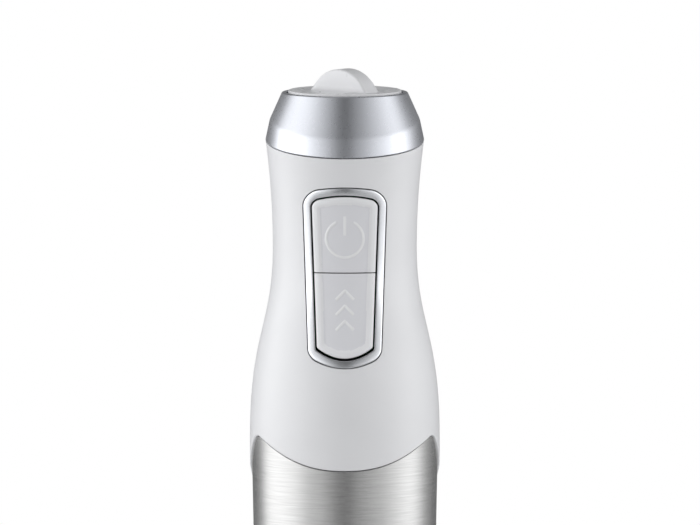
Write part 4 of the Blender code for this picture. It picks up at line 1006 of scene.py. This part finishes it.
def leg_head():
    """White head of the leg: a keyed plug over a bell-shaped cone, and a spigot into the tube."""
    wide, narrow = high("leg_hub", "X"), LEG_R + 0.3
    shoulder, edge = JOINT_Z - SEAM, 0.7
    cone_top, cone_steps, wall = shoulder - 3.2, 24, 2.4
    plug, cup, cup_floor = 19.5, 9.3, HUB_TOP - 15.5
    boss, boss_low = 8.5, cone_top - 4.5
    spigot_bore, spigot_low = SPIGOT_R - 1.5, HUB_LOW - 10.0
    cone = []
    for i in range(cone_steps + 1):
        t = i / cone_steps
        radius = wide - (wide - narrow) * (0.55 * t + 0.45 * smoothstep(t))
        cone.append((radius, cone_top - (cone_top - HUB_LOW) * t))
    points = [(plug - 0.1, HUB_TOP, 0.8), (plug, shoulder + 0.1), (wide - edge, shoulder),
              (wide, shoulder - edge), *cone]
    points += [(SPIGOT_R, HUB_LOW), (SPIGOT_R, spigot_low), (spigot_bore, spigot_low), (spigot_bore, HUB_LOW)]
    points += [(max(r - wall, spigot_bore + 0.1), z) for r, z in reversed(cone[1:])]
    points += [(boss, cone_top), (boss, boss_low), (SHAFT_BORE, boss_low), (SHAFT_BORE, cup_floor),
               (cup, cup_floor), (cup, HUB_TOP, 0.5)]
    made = turned("leg_head", points, WHITE)
    keyway = rounded_box(KEYWAY_HALF, 8.0, 0.8, (0.0, JOINT_Z + 14.0), 40)
    booled(made, *side_prisms("keyway", keyway, plug - 2.0, plug + 4.5))
    settle(made, "leg", "white_plastic", "leg_hub")


def leg_stem():
    top, wall, rows = high("leg_tube", "Z"), 0.8, 24
    edge, edge_height = 0.25, 0.3
    span = top - LEG_LOW - 2 * edge_height
    outer = [(LEG_R, top - edge_height - span * i / rows) for i in range(rows + 1)]
    points = [(LEG_R - edge, top), *outer, (LEG_R - edge, LEG_LOW), (LEG_R - wall, LEG_LOW),
              (LEG_R - wall, top)]
    settle(turned("leg_stem", points, STEEL), "leg", "brushed_steel", "leg_tube")


def bell_profile(share):
    """Radius and height of the bell's outer side, from its neck (0) to where its rim starts (1)."""
    radius = LEG_R + (BELL_R - LEG_R) * smoothstep(share)
    return radius, BELL_NECK_Z + (BELL_RIM_Z - BELL_NECK_Z) * share


def bell():
    """Steel bell: a neck, a flared dome and an upright rim with four rounded arches."""
    wall, top, edge = 1.2, LEG_LOW - SEAM, 0.3
    spigot_top, spigot_low = top + 8.0, top - 3.0
    neck = [(LEG_R - edge, top), (LEG_R, top - edge)]
    steps, rim_steps, gap_steps = 36, 8, 22
    dome = [bell_profile(i / steps) for i in range(steps + 1)]

    def foot(azimuth):
        aside = abs((azimuth + 45) % 90 - 45)
        across = BELL_R * math.sin(math.radians(aside))
        reach = ARCH_R ** 2 - across ** 2
        return max(0.0, ARCH_Z + math.sqrt(reach)) if reach > 0 else 0.0

    def section(azimuth):
        base = foot(azimuth)
        fall = BELL_RIM_Z - base - 0.5
        rim = [(BELL_R, BELL_RIM_Z - fall * i / rim_steps) for i in range(1, rim_steps + 1)]
        lip = [(BELL_R - 0.08, base + 0.22), (BELL_R - 0.3, base + 0.05), (BELL_R - 0.6, base),
               (BELL_R - 0.9, base + 0.05), (BELL_R - 1.12, base + 0.22)]
        outer = neck + dome + rim
        inner = [(BELL_R - wall, z) for _, z in reversed(rim)]
        inside = []
        for i in range(steps, -1, -1):
            before, after = dome[max(i - 1, 0)], dome[min(i + 1, steps)]
            way = Vector((after[0] - before[0], after[1] - before[1])).normalized()
            inside.append((dome[i][0] + way.y * wall, dome[i][1] - way.x * wall))
        bore = SPIGOT_R - wall
        inside = [p for p in inside if p[0] > bore]
        return [(SPIGOT_R, spigot_top), (SPIGOT_R, top)] + outer + lip + inner + inside + [
            (bore, spigot_low), (bore, spigot_top)]

    end = math.degrees(math.asin(math.sqrt(ARCH_R ** 2 - ARCH_Z ** 2) / BELL_R))
    azimuths = []
    for quarter in range(4):
        middle = 90 * quarter
        across = [math.sin(math.radians(end)) * math.sin(math.radians(t)) for t in range(-90, 91, 6)]
        azimuths += [middle + math.degrees(math.asin(share)) for share in across]
        azimuths += [middle + end + 0.4 + (89.2 - 2 * end) * i / gap_steps for i in range(gap_steps + 1)]
    settle(revolved("bell_cup", section, azimuths, STEEL, sharp=50), "leg", "brushed_steel", "bell_guard")


def carrier():
    """Boss under the bell that carries the lower bearing: it narrows in two steps."""
    top, bottom, neck = high("blade_carrier", "Z"), low("blade_carrier", "Z"), high("blade_carrier", "X")
    shoulder, foot, bearing, bearing_top = 9.8, 8.0, 6.3, bottom + 5.5
    cup, cup_floor = neck - 1.6, 44.0
    points = [(neck, top), (neck, top - 11.5, 0.6), (shoulder, 41.5, 4.0), (foot, 27.0, 4.0),
              (foot, bottom, 0.6), (bearing, bottom), (bearing, bearing_top), (SHAFT_BORE, bearing_top),
              (SHAFT_BORE, cup_floor), (cup, top - 6.0), (cup, top)]
    settle(turned("carrier_boss", points, WHITE, SMALL, 8), "leg", "white_plastic", "blade_carrier")


def blades():
    """Four wings with ground edges on a hub, two bent up and two bent down."""
    thick, bend, start, reach, root, tip = 0.75, 5.0, -1.5, 18.0, 4.5, 2.25
    edge, ground, tilted = 0.12, 1.5, 9
    hub_r, hub_bore, hub_half = 5.6, 2.6, 1.0
    corners = [(start, root), (6.5, root, 2.0), (reach - 1.6, tip + 0.5, 1.2), (reach, tip - 1.2, 0.8),
               (reach - 2.6, -tip - 1.2, 1.2), (6.0, -root, 2.0), (start, -root)]
    outline = eased(corners, 5)
    middle = Vector((7.5, 0.0))

    def shrunk(distance):
        made = []
        for x, y in outline:
            away = middle - Vector((x, y))
            share = distance / max(away.length, 0.01)
            made.append((x + away.x * share, y + away.y * share * 1.4))
        return made

    bm = bmesh.new()
    for i in range(4):
        tilt = math.radians(tilted if i % 2 else -tilted)
        place = (Matrix.Rotation(math.radians(45 + 90 * i), 4, "Z")
                 @ Matrix.Translation((bend, 0, BLADE_Z)) @ Matrix.Rotation(-tilt, 4, "Y"))
        loops = []
        for distance, height in ((ground, -thick), (0.0, -edge), (0.0, edge), (ground, thick)):
            loops.append([(place @ Vector((x, y, height))) * MM for x, y in shrunk(distance)])
        join_loops(bm, loops)
    settle(mesh_piece("blade_wings", bm, BLADE, sharp=20), "blade_drive", "plain_steel", "cross_blade")
    hub_top, hub_low = BLADE_Z + hub_half, BLADE_Z - hub_half
    hub = turned("blade_hub", [(hub_r, hub_top, 0.3), (hub_r, hub_low, 0.3), (hub_bore, hub_low),
                               (hub_bore, hub_top)], BLADE, SMALL)
    settle(hub, "blade_drive", "plain_steel")


def blade_nut():
    """Domed nut under the blades, with a washer face."""
    top, washer_r, nut_r, dome_r = high("blade_nut", "Z"), 4.4, 3.7, 3.2
    nut = turned("blade_dome_nut", [
        (washer_r, top, 0.3), (washer_r, top - 1.6, 0.4), (nut_r, top - 2.0, 0.3), (dome_r, top - 3.4, 0.9),
        (0, top - 4.0), (0, top)], GROUND, SMALL)
    settle(nut, "blade_drive", "plain_steel", "blade_nut")


# ---- Materials of the frame's own pieces that stay in sight or inside

def dress_frame():
    by_slot = {
        "white_plastic": WHITE, "button_plastic": KEY, "pad_plastic": PAD, "dial_plastic": DIAL,
        "satin_aluminium": ALUMINIUM, "brushed_steel": STEEL, "chrome": CHROME, "black_plastic": BLACK_AND_GAP_SHADE,
        "grey_plastic": GREY, "plain_steel": GROUND, "rubber": hard_rubber(), "board": board_laminate(),
        "lamination": laminated_steel(), "copper": wound_copper(), "bronze": plain_bronze(),
        "carbon": dark_plastic("pressed_carbon", (0.05, 0.05, 0.055), 0.6)}
    slots = {entry["node"]: entry["material_slot"] for entry in frame["record"]["subparts"]}
    for name, obj in frame["nodes"].items():
        material = by_slot[slots[name]]
        for i in range(max(len(obj.material_slots), 1)):
            if obj.material_slots:
                obj.material_slots[i].material = material
            else:
                obj.data.materials.append(material)


# ---- Studio and camera

ROOM_GAIN = 1.1
ROOM_ROUND = [   # brightness of the room by azimuth, in degrees from the front towards the right
    (-180, 0.17), (-140, 0.24), (-125, 0.58), (-112, 1.40), (-95, 1.58), (-80, 1.52), (-68, 1.42),
    (-56, 1.20), (-45, 0.95), (-34, 0.75), (-24, 0.56), (-14, 0.33), (-5, 0.18), (6, 0.17), (15, 0.38),
    (27, 0.49), (37, 0.64), (48, 0.82), (59, 0.96), (71, 1.17), (84, 1.38), (98, 1.32), (115, 0.64),
    (136, 0.24), (180, 0.17)]
ROOM_UP = [   # and by height, as the sine of the elevation
    (-1, 0.9), (-0.1, 1.0), (0.12, 1.6), (0.29, 0.9), (0.48, 1.03), (0.67, 0.68), (1, 0.3)]


def panel_light(name, azimuth, elevation, distance, width, height, power, aim_z):
    """A softbox round the object, facing a point of its axis."""
    data = bpy.data.lights.new(name, "AREA")
    data.shape = "RECTANGLE"
    data.size, data.size_y = width, height
    data.energy = power
    obj = linked(name, data)
    a, e = math.radians(azimuth), math.radians(elevation)
    away = Vector((math.sin(a) * math.cos(e), -math.cos(a) * math.cos(e), math.sin(e)))
    obj.location = Vector((0, 0, aim_z)) + away * distance
    obj.rotation_euler = away.to_track_quat("Z", "Y").to_euler()
    return obj


def ramped(tree, value, least, most, stops):
    """A smooth curve through (value, result) stops. Its results are halved to stay below one."""
    spread = node(tree, "MapRange", Value=value, From_Min=least, From_Max=most).outputs["Result"]
    made = node(tree, "ValToRGB", Fac=spread)
    made.color_ramp.interpolation = "CARDINAL"
    elements = made.color_ramp.elements
    while len(elements) < len(stops):
        elements.new(0.5)
    for element, (position, result) in zip(elements, stops):
        element.position = (position - least) / (most - least)
        element.color = (result / 2, result / 2, result / 2, 1)
    return made.outputs["Color"]


def world():
    """White where the camera looks past the object. For everything else, a room with two bright sides."""
    made = bpy.data.worlds.new("studio_room")
    made.use_nodes = True
    tree = made.node_tree
    tree.nodes.clear()
    x, y, z = node(tree, "SeparateXYZ", Vector=node(tree, "TexCoord").outputs["Generated"]).outputs
    azimuth = maths(tree, "ARCTAN2", x, maths(tree, "MULTIPLY", y, -1.0))
    degrees = maths(tree, "MULTIPLY", azimuth, 180 / math.pi)
    around = ramped(tree, degrees, -180, 180, ROOM_ROUND)
    upwards = ramped(tree, z, -1, 1, ROOM_UP)
    strength = maths(tree, "MULTIPLY", maths(tree, "MULTIPLY", around, upwards), 4 * ROOM_GAIN)
    white = node(tree, "Background", Color=(1, 1, 1, 1), Strength=1.0)
    room = node(tree, "Background", Color=(0.985, 0.993, 1.0, 1), Strength=strength)
    mix = node(tree, "MixShader", Fac=node(tree, "LightPath").outputs["Is Camera Ray"])
    feed(tree, mix.inputs[1], room.outputs["Background"])
    feed(tree, mix.inputs[2], white.outputs["Background"])
    node(tree, "OutputWorld", Surface=mix.outputs["Shader"])
    bpy.context.scene.world = made


def studio():
    world()
    middle = 0.30
    panel_light("softbox_top", azimuth=0, elevation=80, distance=1.5, width=0.9, height=0.9, power=0.8,
                aim_z=middle)
    for name, azimuth, power in (("fill_left", -78, 2.3), ("fill_right", 78, 2.8)):
        fill = panel_light(name, azimuth, elevation=4, distance=1.3, width=1.0, height=1.9, power=power,
                           aim_z=middle)
        fill.visible_glossy = False     # it lights the plastic, and does not show in the steel
    bm = bmesh.new()
    bmesh.ops.create_grid(bm, x_segments=1, y_segments=1, size=1.2)
    paper = Surface("studio_paper", (0.86, 0.86, 0.86), 0.8)
    paper.tint(paper.noise(3, 2), (0.84, 0.84, 0.84))
    floor = mesh_piece("studio_floor", bm, paper.material)
    floor.location.z = -0.0005


def camera():
    """Looks along +Y and a little down, at the upper half of the blender, through a long lens."""
    data = bpy.data.cameras.new("camera")
    data.lens = 800
    data.sensor_width = 36
    obj = linked("camera", data)
    view_width = 0.24315
    elevation = math.radians(5.5)
    aim = Vector((0.0018, 0, 0.3325))
    away = Vector((0, -math.cos(elevation), math.sin(elevation)))
    distance = view_width * data.lens / data.sensor_width
    obj.location = aim + away * distance
    obj.rotation_euler = away.to_track_quat("Z", "Y").to_euler()
    data.clip_start, data.clip_end = 0.1, 60
    bpy.context.scene.camera = obj


dress_frame()
handle()
sleeve()
collar()
dial()
bezel()
keys()
release_keys()
latch_springs()
socket_ring()
gland()
leg_head()
leg_stem()
bell()
carrier()
blades()
blade_nut()
studio()
camera()
bpy.context.scene.view_settings.view_transform = "Standard"
